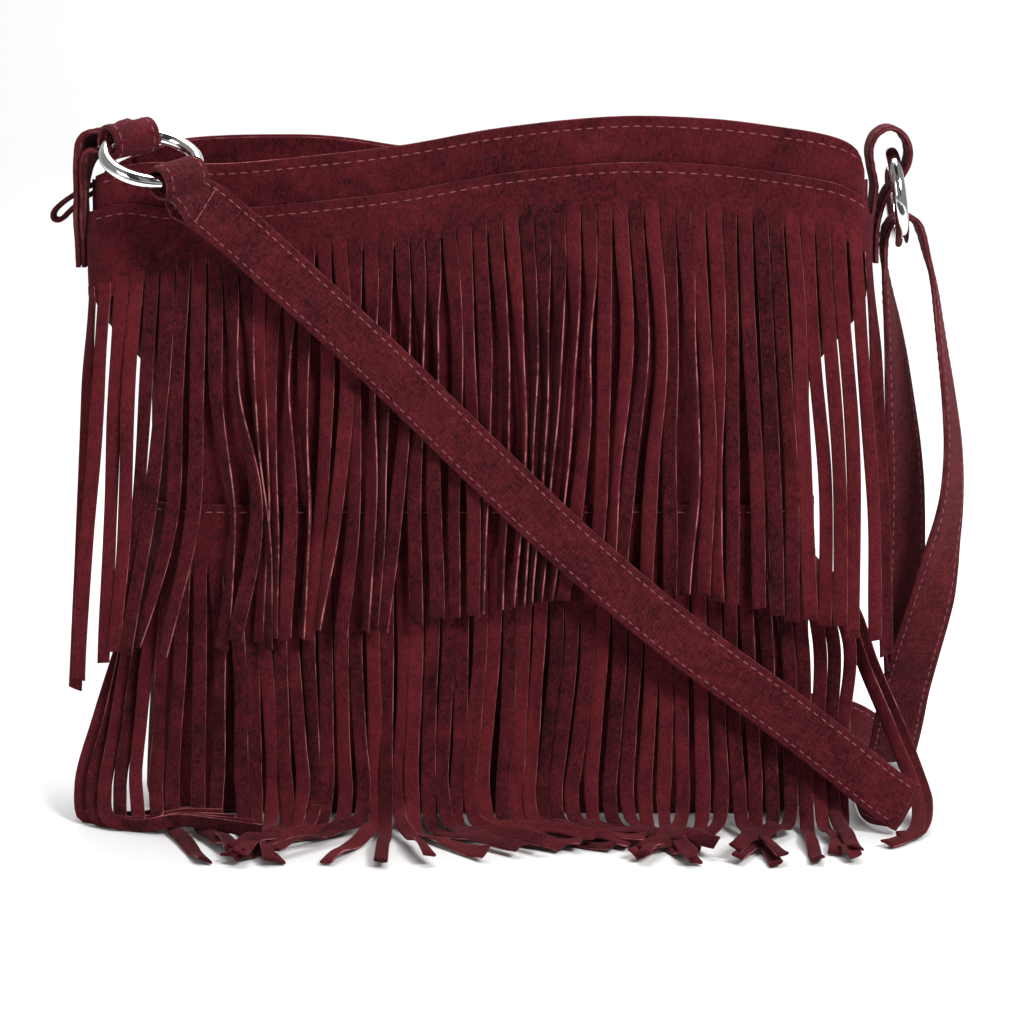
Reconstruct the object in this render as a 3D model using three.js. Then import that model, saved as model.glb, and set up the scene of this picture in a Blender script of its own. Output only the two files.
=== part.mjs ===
// Fringed suede shoulder bag with a recessed zip, two chrome rings and a long stitched strap.
// Millimetres, +Z up, X along the bag, -Y to the fringed front. Origin: centre of the base, on the floor.
import * as THREE from 'three';

// Body sizes
const WAIST = 146;            // half width at mid height
const SHOULDER = 170;         // half width under the rim
const SHOULDER_FOOT = 188;    // the sides begin to flare here
const SHOULDER_RISE = 42;
const BASE = 150;             // half width at the base
const BASE_DEPTH = 44;        // half depth at the base
const MOUTH_DEPTH = 20;       // half depth at the rim
const CORNER = 26;            // largest corner radius in plan
const CORNER_SHARE = 0.88;    // and the largest share of the half depth that it takes
const RIM_CORNER = 0.5;       // share of that radius left at the rim
const BOTTOM_ROUND = 9;       // rounding under the body
const SUEDE = 1.8;            // wall of panel and gusset
const SEAM = Math.PI / 3;     // place of the side seams on the corner, as an angle
const GAP = 0.4;              // clearance at seams
const GUSSET_TOP = 268;
const LINING_TOP = 262;
const LINING_DEPTH = 3;       // lining lies this far inside the outer face
const LINING = 0.8;

// Rim heights along X: the front edge bows up, the back edge sags to the right
const FRONT_RIM = [[-170, 281], [-150, 286.5], [-112, 286.5], [-77, 289.5], [-34, 294.5], [9, 302],
  [60, 307], [100, 306], [130, 302.5], [155, 298], [166, 292], [170, 284]];
const BACK_RIM = [[-170, 281], [-150, 290], [-130, 295.5], [-81, 297], [-59, 295.5], [-36, 292],
  [20, 287], [80, 286], [140, 288], [166, 288], [170, 282]];

// Zip
const ZIP_Z = 276;
const ZIP_LEFT = -158;
const ZIP_RIGHT = 159;
const TAPE = 0.8;
const TAPE_BACK = 14.5;        // outer edge of a tape, from the centre line
const TOOTH_ROOT = 2.8;
const TOOTH_TIP = 0.9;
const TOOTH_PITCH = 6;
const TEETH_FROM = 6;          // first and last tooth, from the ends of the tape
const TEETH_TO = 4;
const SLIDER_X = 150;
const SLIDER_LENGTH = 11;
const SLIDER_HALF = 4.6;
const SLIDER_WEB = 0.5;
const STUMP = 1.4;             // half width of the stump that carries the pull
const PULL = 1.4;              // thickness of the pull
const PULL_LIFT = 2.9;         // underside of the pull over the middle of the zip
const FACING = 1.1;
const FACING_REACH = 156;      // half length
const FACING_SHELF = 9;        // free edge, from the centre line
const ZIP_TAB = { y: 6.6, width: 8.4, thick: 1.6 };

// Fringe
const STRIPS = 51;
const PITCH = 6.8;
const STRIP_GAP = 0.6;
const FRINGE = 1.4;
const FRINGE_GAP = 1.2;       // between the body and the sewn band of a fringe
const UPPER_BELOW_RIM = 20;   // upper fringe starts this far under the rim
const UPPER_LIFT = [1.9, 5, 8, 11];   // how far strips stand off the body at 0, 1/3, 2/3 and their end
const LOWER_TOP = 131;
const LOWER_CUT = 111;
const LOWER_LENGTH = 172;
const LOWER_KNOTS = [76, 42, 15];     // heights where a lower strip's line is steered
const CUT_DEEPER = 12;                // cuts of the upper fringe start lower at the left end
const UPPER_BAND = 21;                // solid height above the upper cuts

// Rings, strap and tabs
const RING = 20;              // to the middle of the wire
const WIRE = 3;
const STRAP_WIDTH = 23;
const STRAP = 2.8;
const TAB = 2.2;
const LEFT_RING = { at: [-141.5, -35, 289.5], lean: 25, roll: 11 };
const RIGHT_RING = { at: [183.5, 0, 270], lean: 0, roll: 82.9 };

// Upper strips, left to right. Sideways sway at 1/3, 2/3 and the end, turn about their own line
// at the same places in degrees, length, and extra lift.
const UPPER = [
  [-4, -8, -13, 50, 50, 25, 172, 0], [-5, -8, -11, 40, 35, 45, 174, 0], [-6, -7, -12, 45, 50, 60, 166, 1],
  [-6, -8, -15, 40, 55, 60, 164, 0], [-6, -11, -21, 30, 70, 75, 166, -2], [-5, -10, -26, 15, 35, 15, 172, 2],
  [-2, -5, -25, 5, 10, 50, 166, 0], [-1, -3, -16, 5, 8, 60, 170, 1], [1, 9, 2, 10, 70, 12, 168, -1],
  [4, 11, 3, 65, 20, 0, 164, 2], [3, 8, 9, 72, 60, 25, 168, 0], [-1, 1, -1, 25, 60, 35, 166, -2],
  [-3, -2, -2, 15, 45, 45, 164, 0], [-2, -1, -3, 80, 5, 15, 166, 1], [-2, 2, -2, 35, 75, 60, 166, -1],
  [1, -1, -7, 10, 20, 10, 168, 0], [4, -1, -8, 5, 15, 75, 164, 1], [0, -1, -6, 15, 12, 10, 168, 0],
  [1, 0, -2, 68, 40, 72, 166, 1], [-1, -2, -6, 40, 50, 20, 166, -1], [2, -2, -8, 60, 8, 40, 168, 1],
  [2, -1, 0, 70, 8, 20, 166, -1], [2, 0, 1, 75, 5, 5, 164, 1], [4, 3, 2, 30, 25, 20, 166, 0],
  [2, 4, 4, 25, 8, 5, 166, 1], [2, 3, 2, 20, 60, 72, 166, 0], [4, 5, 3, 50, 60, 62, 166, 0],
  [4, 5, 1, 50, 72, 70, 166, 0], [3, 2, -2, 50, 72, 70, 166, 0], [2, 0, -5, 52, 70, 66, 166, 0],
  [1, -2, -8, 54, 68, 64, 166, 0], [0, -4, -11, 60, 64, 60, 166, 0], [0, -3, -12, 74, 15, 15, 166, 1],
  [1, -2, -7, 10, 25, 10, 168, 0], [3, -2, -5, 20, 45, 25, 166, -1], [3, -3, -8, 45, 15, 12, 168, 1],
  [4, 0, -3, 35, 12, 12, 168, -1], [3, 1, 0, 25, 15, 12, 168, -2], [3, 6, 1, 45, 65, 50, 164, 2],
  [2, 4, 3, 10, 12, 12, 164, 0], [2, 2, 2, 20, 40, 30, 166, 0], [1, 1, 1, 5, 5, 5, 168, 0],
  [1, 2, 3, 0, 0, 4, 168, 0], [3, 5, 8, 5, 5, 5, 170, 0], [3, 6, 10, 12, 22, 25, 172, -1],
  [3, 8, 12, 30, 30, 22, 170, 0], [3, 8, 13, 60, 40, 20, 172, 1], [3, 8, 14, 40, 32, 12, 172, 0],
  [4, 8, 14, 55, 58, 58, 172, 0], [2, 7, 13, 10, 32, 30, 172, 1], [2, 6, 11, 20, 42, 55, 172, 0],
];

// Lower strips, left to right. Sideways sway at 1/3 and where they land, forward reach there, heading
// on the floor (0 forward, 90 to the right), turn at 1/3 and near the floor, and layer on the floor.
const LOWER = [
  [-11, -28, 14, 88, 30, 10, 0], [-9, -20, 20, 82, 50, 30, 1], [-8, -16, 24, 84, 60, 40, 2],
  [-7, -12, 26, 76, 50, 55, 0], [-6, -10, 28, 70, 20, 15, 1], [-3, -6, 29, 60, 40, 30, 2],
  [-1, -2, 30, 20, 5, 5, 0], [0, 0, 30, 25, 8, 5, 1], [2, 1, 31, 15, 35, 5, 2],
  [3, 6, 31, 20, 20, 10, 0], [2, 5, 30, 10, 8, 5, 1], [1, 5, 31, -10, 5, 8, 2],
  [1, 5, 32, -20, 8, 20, 0], [0, 4, 32, -30, 15, 25, 1], [0, 3, 31, -35, 20, 30, 2],
  [0, 1, 32, -45, 5, 8, 0], [1, 3, 31, -50, 10, 10, 1], [0, 4, 32, -40, 20, 15, 2],
  [0, 3, 31, -20, 8, 15, 0], [0, 0, 32, 0, 25, 15, 1], [0, -1, 31, 15, 8, 5, 2],
  [-1, -2, 32, 35, 10, 10, 0], [0, -2, 31, 45, 5, 5, 1], [0, -2, 32, 50, 5, 5, 2],
  [-1, -4, 31, 55, 10, 8, 0], [0, -4, 32, 58, 5, 5, 1], [-1, -5, 31, 60, 8, 8, 2],
  [0, -4, 32, 58, 5, 5, 0], [-1, -5, 31, 60, 8, 5, 1], [-1, -6, 32, 62, 25, 15, 2],
  [-1, -7, 31, 62, 8, 8, 0], [-1, -8, 32, 60, 5, 8, 1], [-1, -8, 31, 58, 8, 10, 2],
  [-1, -6, 32, 55, 10, 10, 0], [0, -5, 31, 50, 8, 8, 1], [0, -4, 31, 40, 15, 10, 2],
  [0, -3, 32, 20, 5, 5, 0], [0, -2, 31, 10, 5, 5, 1], [0, 0, 30, -20, 8, 10, 2],
  [1, 2, 30, -35, 10, 10, 0], [1, 3, 31, -40, 15, 15, 1], [2, 4, 30, 15, 25, 20, 2],
  [2, 4, 31, 5, 30, 20, 0], [2, 4, 30, -20, 40, 20, 1], [1, 3, 29, -30, 30, 25, 2],
  [0, 3, 28, 0, 10, 20, 0], [1, 4, 26, 10, 25, 20, 1], [2, 5, 24, 5, 20, 15, 2],
  [3, 6, 22, -10, 30, 20, 0], [5, 7, 20, -15, 30, 20, 1], [6, 8, 18, 10, 30, 20, 2],
];

// Outermost strips on the right swing over the strap's back run and lie round its fold
const OVER_STRAP = 2;
const OVER_PATH = [[148.5, -6, 111], [160, -9, 82], [176, -16, 54], [189, -26, 35], [194.5, -42, 20],
  [195.5, -58, 9], [192, -76, 3], [180, -93, 1.4], [166, -100, 1.2]];

const rad = THREE.MathUtils.degToRad;
const lerp = THREE.MathUtils.lerp;
const vec = (x, y, z) => new THREE.Vector3(x, y, z);

function smooth(t) {
  const c = Math.min(1, Math.max(0, t));
  return c * c * (3 - 2 * c);
}

// Smooth curve through [x, y] knots: cubic pieces whose slopes follow the neighbours
function through(knots, x) {
  const last = knots.length - 1;
  const at = Math.min(knots[last][0], Math.max(knots[0][0], x));
  let k = 0;
  while (k < last - 1 && at > knots[k + 1][0]) k += 1;
  const slope = (j) => {
    const a = knots[Math.max(0, j - 1)];
    const b = knots[Math.min(last, j + 1)];
    return (b[1] - a[1]) / (b[0] - a[0]);
  };
  const [x0, y0] = knots[k];
  const [x1, y1] = knots[k + 1];
  const h = x1 - x0;
  const t = (at - x0) / h;
  const t2 = t * t;
  const t3 = t2 * t;
  return y0 * (2 * t3 - 3 * t2 + 1) + slope(k) * h * (t3 - 2 * t2 + t)
    + y1 * (3 * t2 - 2 * t3) + slope(k + 1) * h * (t3 - t2);
}

// Smooth curve of values given at 0, 1/n, 2/n ... 1
const along = (values, t) => through(values.map((v, k) => [k / (values.length - 1), v]), t);

// Body outline in plan at height z
function plan(z) {
  const low = smooth(z / 90);
  const high = smooth((z - SHOULDER_FOOT) / SHOULDER_RISE);
  const w = lerp(lerp(BASE, WAIST, low), SHOULDER, high);
  const d = lerp(BASE_DEPTH, MOUTH_DEPTH, smooth((z - 60) / 240));
  const r = Math.min(CORNER, d * CORNER_SHARE) * lerp(1, RIM_CORNER, high);
  return { w, d, r, flat: w - r, half: w - r + r * Math.PI / 2 + d - r };
}

// Point on the body at arc length s from the middle of the front, height v, and depth under the skin.
// Near the floor the wall turns under by a quarter circle.
function skin(s, v, depth = 0) {
  const { w, d, r, flat, half } = plan(v);
  const side = Math.sign(s) || 1;
  const back = Math.abs(s) > half;
  const run = back ? 2 * half - Math.abs(s) : Math.abs(s);
  const angle = Math.min(Math.max((run - flat) / r, 0), Math.PI / 2);
  const straight = Math.max(run - flat - r * Math.PI / 2, 0);
  const nx = side * Math.sin(angle);
  const ny = -Math.cos(angle);
  const x = side * (Math.min(run, flat) + r * Math.sin(angle));
  const y = -(d - r) - r * Math.cos(angle) + straight;
  const turn = v < BOTTOM_ROUND ? Math.acos((BOTTOM_ROUND - v) / BOTTOM_ROUND) : Math.PI / 2;
  const inset = BOTTOM_ROUND - (BOTTOM_ROUND - depth) * Math.sin(turn);
  const z = v < BOTTOM_ROUND ? BOTTOM_ROUND - (BOTTOM_ROUND - depth) * Math.cos(turn) : v;
  const flip = back ? -1 : 1;
  return {
    at: vec(x - nx * inset, flip * (y - ny * inset), z),
    out: vec(nx, flip * ny, 0),
    facing: Math.cos(angle),
  };
}

// Collects vertices and faces of one closed body
class Shell {
  constructor() {
    this.points = [];
    this.faces = [];
  }

  add(p) {
    this.points.push(p.x, p.y, p.z);
    return this.points.length / 3 - 1;
  }

  grid(rows) {
    return rows.map((row) => row.map((p) => this.add(p)));
  }

  quad(a, b, c, d) {
    this.faces.push(a, b, c, a, c, d);
  }

  // Faces over a grid of indices, seen from the side where rows run up and columns run right
  skinOver(ids, flip = false) {
    for (let i = 0; i + 1 < ids.length; i += 1) {
      for (let j = 0; j + 1 < ids[i].length; j += 1) {
        const [a, b, c, d] = [ids[i][j], ids[i][j + 1], ids[i + 1][j + 1], ids[i + 1][j]];
        if (flip) this.quad(a, d, c, b);
        else this.quad(a, b, c, d);
      }
    }
  }

  build() {
    const geometry = new THREE.BufferGeometry();
    geometry.setAttribute('position', new THREE.Float32BufferAttribute(this.points, 3));
    geometry.setIndex(this.faces);
    geometry.computeVertexNormals();
    return geometry;
  }
}

// Closed sheet between an outer and an inner grid of points
function sheet(outer, inner) {
  const shell = new Shell();
  const a = shell.grid(outer);
  const b = shell.grid(inner);
  shell.skinOver(a);
  shell.skinOver(b, true);
  const last = a.length - 1;
  const end = a[0].length - 1;
  for (let j = 0; j < end; j += 1) {
    shell.quad(b[0][j], b[0][j + 1], a[0][j + 1], a[0][j]);
    shell.quad(a[last][j], a[last][j + 1], b[last][j + 1], b[last][j]);
  }
  for (let i = 0; i < last; i += 1) {
    shell.quad(a[i][0], a[i + 1][0], b[i + 1][0], b[i][0]);
    shell.quad(b[i][end], b[i + 1][end], a[i + 1][end], a[i][end]);
  }
  return shell.build();
}

// Flat band carried along a line of frames, each with a centre and the direction of its width
function band(frames, width, thickness) {
  const shell = new Shell();
  const rings = frames.map((frame, k) => {
    const before = frames[Math.max(0, k - 1)].at;
    const after = frames[Math.min(frames.length - 1, k + 1)].at;
    const t = after.clone().sub(before).normalize();
    const w = frame.across.clone().normalize();
    const n = w.clone().cross(t).normalize().multiplyScalar(thickness / 2);
    w.multiplyScalar(width / 2);
    return [
      frame.at.clone().sub(w).add(n), frame.at.clone().add(w).add(n),
      frame.at.clone().add(w).sub(n), frame.at.clone().sub(w).sub(n),
    ].map((p) => shell.add(p));
  });
  for (let k = 0; k + 1 < rings.length; k += 1) {
    for (let c = 0; c < 4; c += 1) {
      const d = (c + 1) % 4;
      shell.quad(rings[k][c], rings[k][d], rings[k + 1][d], rings[k + 1][c]);
    }
  }
  const last = rings[rings.length - 1];
  shell.quad(rings[0][3], rings[0][2], rings[0][1], rings[0][0]);
  shell.quad(last[0], last[1], last[2], last[3]);
  return shell.build();
}

// Frames at even steps along a smooth line through hand-placed stations [x, y, z, across x, y, z]
function stations(list, steps) {
  const centre = new THREE.CatmullRomCurve3(list.map((s) => vec(s[0], s[1], s[2])), false, 'centripetal');
  const across = new THREE.CatmullRomCurve3(list.map((s) => vec(s[3], s[4], s[5])), false, 'centripetal');
  return Array.from({ length: steps + 1 }, (_, k) => ({
    at: centre.getPoint(k / steps),
    across: across.getPoint(k / steps).normalize(),
  }));
}

// Heights shared by both sides of a seam, so that the edges run side by side
const SIDE_BEND = Math.PI * 5 / 12;
const SEAM_HEIGHTS = [3.5, 9, 30, 70, 120, 165, 185, 197, 209, 221, 233, 245, 256, GUSSET_TOP];

function panel(rim, back) {
  const flats = 14;
  const place = (v) => {
    const { flat, r } = plan(v);
    const corner = [flat + r * SEAM / 2, flat + r * SEAM - GAP / 2];
    const middle = Array.from({ length: flats + 1 }, (_, j) => flat * (2 * j / flats - 1));
    return [...corner.map((s) => -s).reverse(), ...middle, ...corner];
  };
  const point = (j, v, depth) => {
    const p = skin(place(v)[j], v, depth).at;
    return back ? vec(-p.x, -p.y, p.z) : p;
  };
  const columns = flats + 5;
  const topRow = (depth) => Array.from({ length: columns }, (_, j) => {
    const x = (back ? -1 : 1) * place(GUSSET_TOP)[j];
    return point(j, through(rim, x), depth);
  });
  const grid = (depth) => [
    ...[1.8, ...SEAM_HEIGHTS].map((v) => Array.from({ length: columns }, (_, j) => point(j, v, depth))),
    topRow(depth),
  ];
  return sheet(grid(0), grid(SUEDE));
}

// One strip of suede down the left side, under the bag and up the right side
function gusset() {
  const sideRow = (v, side, depth) => {
    const { flat, r, half } = plan(v);
    const near = [flat + r * SEAM + GAP / 2, flat + r * SIDE_BEND, flat + r * Math.PI / 2];
    const across = [...near, half, ...near.toReversed().map((s) => 2 * half - s)];
    return across.map((s) => skin(side * s, v, depth).at);
  };
  const baseRow = (s, depth) => {
    const edge = skin(s, 1.2, depth).at;
    const floor = skin(s, 0, depth).at;
    const inner = [1, 0.6, 0, -0.6, -1].map((share) => vec(floor.x, floor.y * share, floor.z));
    return [edge, ...inner, vec(edge.x, -edge.y, edge.z)];
  };
  const { flat, r } = plan(0);
  const bend = [SEAM, SEAM / 2];
  const lines = [
    ...bend.map((angle) => -(flat + r * angle)),
    ...[-1, -0.66, -0.33, 0, 0.33, 0.66, 1].map((share) => share * flat),
    ...bend.toReversed().map((angle) => flat + r * angle),
  ];
  const grid = (depth) => [
    ...SEAM_HEIGHTS.toReversed().map((v) => sideRow(v, -1, depth)),
    ...lines.map((s) => baseRow(s, depth)),
    ...SEAM_HEIGHTS.map((v) => sideRow(v, 1, depth)),
  ];
  return sheet(grid(0), grid(SUEDE));
}

// Fabric tub inside the walls, open at the top
function lining() {
  const heights = [0, ...SEAM_HEIGHTS.slice(0, -1), LINING_TOP];
  const quarter = (v) => {
    const { flat, r, half } = plan(v);
    const bends = [SEAM / 2, SEAM, SIDE_BEND, Math.PI / 2].map((angle) => flat + r * angle);
    return { half, marks: [flat / 2, flat, ...bends] };
  };
  const ring = (v, depth) => {
    const { half, marks } = quarter(v);
    const front = [...marks.toReversed().map((s) => -s), 0, ...marks, half];
    const far = marks.map((s) => 2 * half - s);
    const back = [...far.toReversed(), 2 * half, ...far.map((s) => -s), -half];
    return [...front, ...back].map((s) => skin(s, v, depth).at);
  };
  const around = ring(0, 0).length;
  const shell = new Shell();
  const outer = heights.map((v) => shell.grid([ring(v, LINING_DEPTH)])[0]);
  const inner = heights.map((v) => shell.grid([ring(v, LINING_DEPTH + LINING)])[0]);
  const wrap = (row) => [...row, row[0]];
  shell.skinOver(outer.map(wrap));
  shell.skinOver(inner.map(wrap), true);
  const top = heights.length - 1;
  shell.skinOver([wrap(outer[top]), wrap(inner[top])]);
  const low = shell.add(vec(0, 0, LINING_DEPTH));
  const high = shell.add(vec(0, 0, LINING_DEPTH + LINING));
  for (let j = 0; j < around; j += 1) {
    const k = (j + 1) % around;
    shell.faces.push(low, outer[0][k], outer[0][j], high, inner[0][j], inner[0][k]);
  }
  return shell.build();
}

// Suede turned in at the rim, down to the zip and a little way towards it
function facing(rim, side) {
  const columns = 18;
  const under = SUEDE + GAP;
  const over = ZIP_Z + TAPE / 2 + 0.9;
  const rows = (lift) => {
    const profile = [
      (x) => [plan(through(rim, x)).d - under - lift, through(rim, x) - 0.8],
      (x) => [plan(ZIP_Z).d - under - lift, ZIP_Z + 4],
      () => [plan(ZIP_Z).d - under - 1.5 - lift, over + lift],
      () => [FACING_SHELF, over + lift],
    ];
    return profile.map((place) => Array.from({ length: columns + 1 }, (_, j) => {
      const x = lerp(-FACING_REACH, FACING_REACH, j / columns);
      const [y, z] = place(x);
      return vec(x, side * y, z);
    }));
  };
  return side > 0 ? sheet(rows(0), rows(FACING)) : sheet(rows(FACING), rows(0));
}

// Tape with its row of teeth, cut short of the centre line so that the slider's web can pass
function tape(side) {
  const shape = new THREE.Shape();
  const phase = side > 0 ? 0 : TOOTH_PITCH / 2;
  shape.moveTo(ZIP_LEFT, -TAPE_BACK);
  shape.lineTo(ZIP_RIGHT, -TAPE_BACK);
  shape.lineTo(ZIP_RIGHT, -TOOTH_ROOT);
  for (let x = ZIP_RIGHT - TEETH_TO - phase; x > ZIP_LEFT + TEETH_FROM; x -= TOOTH_PITCH) {
    shape.lineTo(x, -TOOTH_ROOT);
    shape.lineTo(x, -TOOTH_TIP);
    shape.lineTo(x - TOOTH_PITCH / 2, -TOOTH_TIP);
    shape.lineTo(x - TOOTH_PITCH / 2, -TOOTH_ROOT);
  }
  shape.lineTo(ZIP_LEFT, -TOOTH_ROOT);
  shape.closePath();
  const geometry = new THREE.ExtrudeGeometry(shape, { depth: TAPE, bevelEnabled: false });
  geometry.translate(0, 0, ZIP_Z - TAPE / 2);
  if (side > 0) geometry.rotateZ(Math.PI).translate(ZIP_LEFT + ZIP_RIGHT, 0, 0);
  return geometry;
}

// Small block between the tapes at an end of the zip
function stop(x0, x1) {
  return new THREE.BoxGeometry(x1 - x0, 1, 2.4).translate((x0 + x1) / 2, 0, ZIP_Z);
}

// Slider in section: top plate, thin web between the tooth rows, bottom plate and the bail's stump
function slider() {
  const half = SLIDER_HALF;
  const web = SLIDER_WEB;
  const shape = new THREE.Shape();
  const outline = [[-half, 1], [-web, 1], [-web, -1], [-half, -1], [-half, -2.2], [half, -2.2],
    [half, -1], [web, -1], [web, 1], [half, 1], [half, 2], [STUMP, 2.6], [STUMP, 4.6], [-STUMP, 4.6],
    [-STUMP, 2.6], [-half, 2]];
  outline.forEach(([y, z], k) => (k ? shape.lineTo(y, z) : shape.moveTo(y, z)));
  shape.closePath();
  const geometry = new THREE.ExtrudeGeometry(shape, { depth: SLIDER_LENGTH, bevelEnabled: false });
  geometry.rotateX(Math.PI / 2).rotateZ(Math.PI / 2);
  return geometry.translate(SLIDER_X - SLIDER_LENGTH / 2, 0, ZIP_Z);
}

// Pull: a plate with a window that rides over the stump, lying along the zip
function puller() {
  const shape = new THREE.Shape();
  shape.moveTo(-4.2, -3.4);
  shape.lineTo(-4.2, 3.4);
  shape.lineTo(14, 2.6);
  shape.absarc(18, 0, 3.2, 2.2, -2.2, true);
  shape.lineTo(14, -2.6);
  shape.closePath();
  const window = new THREE.Path();
  window.moveTo(-2.4, -2);
  window.lineTo(10, -2);
  window.lineTo(10, 2);
  window.lineTo(-2.4, 2);
  window.closePath();
  shape.holes.push(window);
  const geometry = new THREE.ExtrudeGeometry(shape, { depth: PULL, bevelEnabled: false, curveSegments: 8 });
  geometry.rotateZ(Math.PI);
  return geometry.translate(SLIDER_X + 4, 0, ZIP_Z + PULL_LIFT);
}

// Suede folded over the zip's tail, drooping outside the left end of the mouth
function zipTab() {
  const line = [[-156, 278], [-163, 277.8], [-170, 276.4], [-176, 273.8], [-181, 270.4], [-186.4, 266.6],
    [-189.9, 263.2], [-190, 260], [-186.8, 259.4], [-182.8, 262.6], [-178.6, 266.8], [-174, 270.4],
    [-169, 272.8], [-162, 273.8], [-156, 274]];
  const frames = stations(line.map(([x, z]) => [x, ZIP_TAB.y, z, 0, 1, 0]), 30);
  return band(frames, ZIP_TAB.width, ZIP_TAB.thick);
}

// Ring wire as a torus, leaned about X and rolled about Y
function ringFrame({ at, lean, roll }) {
  const turn = new THREE.Matrix4().makeRotationY(rad(roll));
  turn.multiply(new THREE.Matrix4().makeRotationX(rad(lean)));
  return { turn, centre: vec(...at) };
}

function ringPoint(ring, degrees) {
  const { turn, centre } = ringFrame(ring);
  return vec(RING * Math.cos(rad(degrees)), RING * Math.sin(rad(degrees)), 0).applyMatrix4(turn).add(centre);
}

function ringTangent(ring, degrees) {
  return vec(-Math.sin(rad(degrees)), Math.cos(rad(degrees)), 0).applyMatrix4(ringFrame(ring).turn);
}

function ringMesh(ring) {
  const { turn, centre } = ringFrame(ring);
  const round = new THREE.TorusGeometry(RING, WIRE, 10, 32);
  return round.applyMatrix4(turn).translate(centre.x, centre.y, centre.z);
}

// Line of frames round a wire: from one leg, over the far side, to the other leg
function loopRound(centre, axis, toLegs, radius, from, steps) {
  const up = axis.clone().cross(toLegs).normalize();
  return Array.from({ length: steps + 1 }, (_, k) => {
    const angle = rad(lerp(from, 360 - from, k / steps));
    const spot = toLegs.clone().multiplyScalar(Math.cos(angle)).add(up.clone().multiplyScalar(Math.sin(angle)));
    return { at: centre.clone().add(spot.multiplyScalar(radius)), across: axis.clone() };
  });
}

// Both legs of a doubled band to either side of one spine, apart by an offset that depends on the share run
function doubled(spine, offset, middle) {
  const sided = (sign) => spine.map((frame, k) => {
    const before = spine[Math.max(0, k - 1)].at;
    const after = spine[Math.min(spine.length - 1, k + 1)].at;
    const t = after.clone().sub(before).normalize();
    const n = frame.across.clone().cross(t).normalize();
    n.multiplyScalar(sign * offset(k / (spine.length - 1)));
    return { at: frame.at.clone().add(n), across: frame.across };
  });
  return [...sided(1), ...middle, ...sided(-1).reverse()];
}

// Left tab: sewn on the gusset, rises past the rim and wraps the ring's upper left
const TAB_ANGLE = 132;
const TAB_LEG = 1.45;         // middle of each leg, from the line between them
const TAB_OPENING = 3.2;      // how much further apart the legs are at the ring
const TAB_LOOP = 7.2;         // radius of the tab round the wire
function leftTab() {
  const wire = ringPoint(LEFT_RING, TAB_ANGLE);
  const axis = ringTangent(LEFT_RING, TAB_ANGLE).negate();
  const inward = vec(...LEFT_RING.at).sub(wire).normalize();
  const centre = wire.clone().add(inward.multiplyScalar(RING_BOW));
  const toLegs = vec(0, 0, 1).cross(axis).normalize();
  const end = centre.clone().add(toLegs.clone().multiplyScalar(9.5));
  const a = axis.toArray();
  const spine = stations([
    [-175.6, -3, 242, 0, 1, 0], [-175.6, -5, 254, 0, 1, 0], [-175.5, -9.6, 265, 0, 1, 0],
    [-174.6, -11.5, 276, 0, 1, 0], [-173, -12.5, 287, 0.15, 0.98, 0],
    [-168.4, -13, 295.5, 0.45, 0.88, 0.1], [end.x, end.y, end.z, ...a],
  ], 14);
  const apart = (share) => TAB_LEG + TAB_OPENING * smooth((share - 0.66) / 0.3);
  return band(doubled(spine, apart, loopRound(centre, axis, toLegs, TAB_LOOP, 48, 14)), STRAP_WIDTH, TAB);
}

// Right tab: both legs on the gusset, open loop over the ring's top
function rightTab() {
  const line = [[171.6, 242], [171.8, 256], [173, 266], [173.8, 276], [172.2, 284], [171.4, 292],
    [174, 298.2], [179.5, 301.2], [185, 299], [188.4, 293], [188.2, 286], [184.8, 279.5], [179.6, 273.5],
    [176.5, 266], [174.6, 256], [174.4, 242]];
  return band(stations(line.map(([x, z]) => [x, 0, z, 0, 1, 0]), 40), STRAP_WIDTH, TAB);
}

// Strap: return leg, arch over the right ring, outer leg, loose loop behind the bag, back run along
// the right side, flat fold at the front corner, and the long run up to the left ring
const RETURN_AND_ARCH = [
  [192.5, 8, 56, 0.85, 0.5, 0], [191.2, 8, 80, 0.84, 0.54, 0], [191.6, 6, 107, 0.82, 0.57, 0],
  [191.1, 5, 135, 0.8, 0.6, 0], [189.8, 4, 157, 0.72, 0.69, 0], [187.2, 3, 180, 0.62, 0.78, 0],
  [184.2, 2, 207, 0.44, 0.9, 0], [180.4, 1, 231, 0.2, 0.98, 0], [178.8, 0, 244, 0.04, 1, 0],
  [179.2, 0, 254.4, 0, 1, 0], [182, 0, 260.2, 0, 1, 0], [187, 0, 262.2, 0, 1, 0], [192, -0.5, 260.2, 0, 1, 0],
  [195, -1.5, 254.6, 0, 1, 0],
  [197.2, -3, 246, 0.04, 1, 0], [200.4, -4, 234, 0.12, 0.99, 0], [204, -8, 208, 0.22, 0.97, 0],
  [207.8, -10, 181, 0.33, 0.94, 0], [209.8, -12, 159, 0.43, 0.9, 0], [209.3, -12, 136, 0.56, 0.83, 0],
  [206, -10, 114, 0.76, 0.65, 0], [202.1, -6, 90, 0.95, 0.3, 0], [197.7, 0, 70, 0.98, 0.15, 0],
  [193, 10, 46, 1, 0, 0], [190.5, 24, 20, 1, 0, 0], [188.5, 42, 5, 1, 0, 0.02],
];
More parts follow.
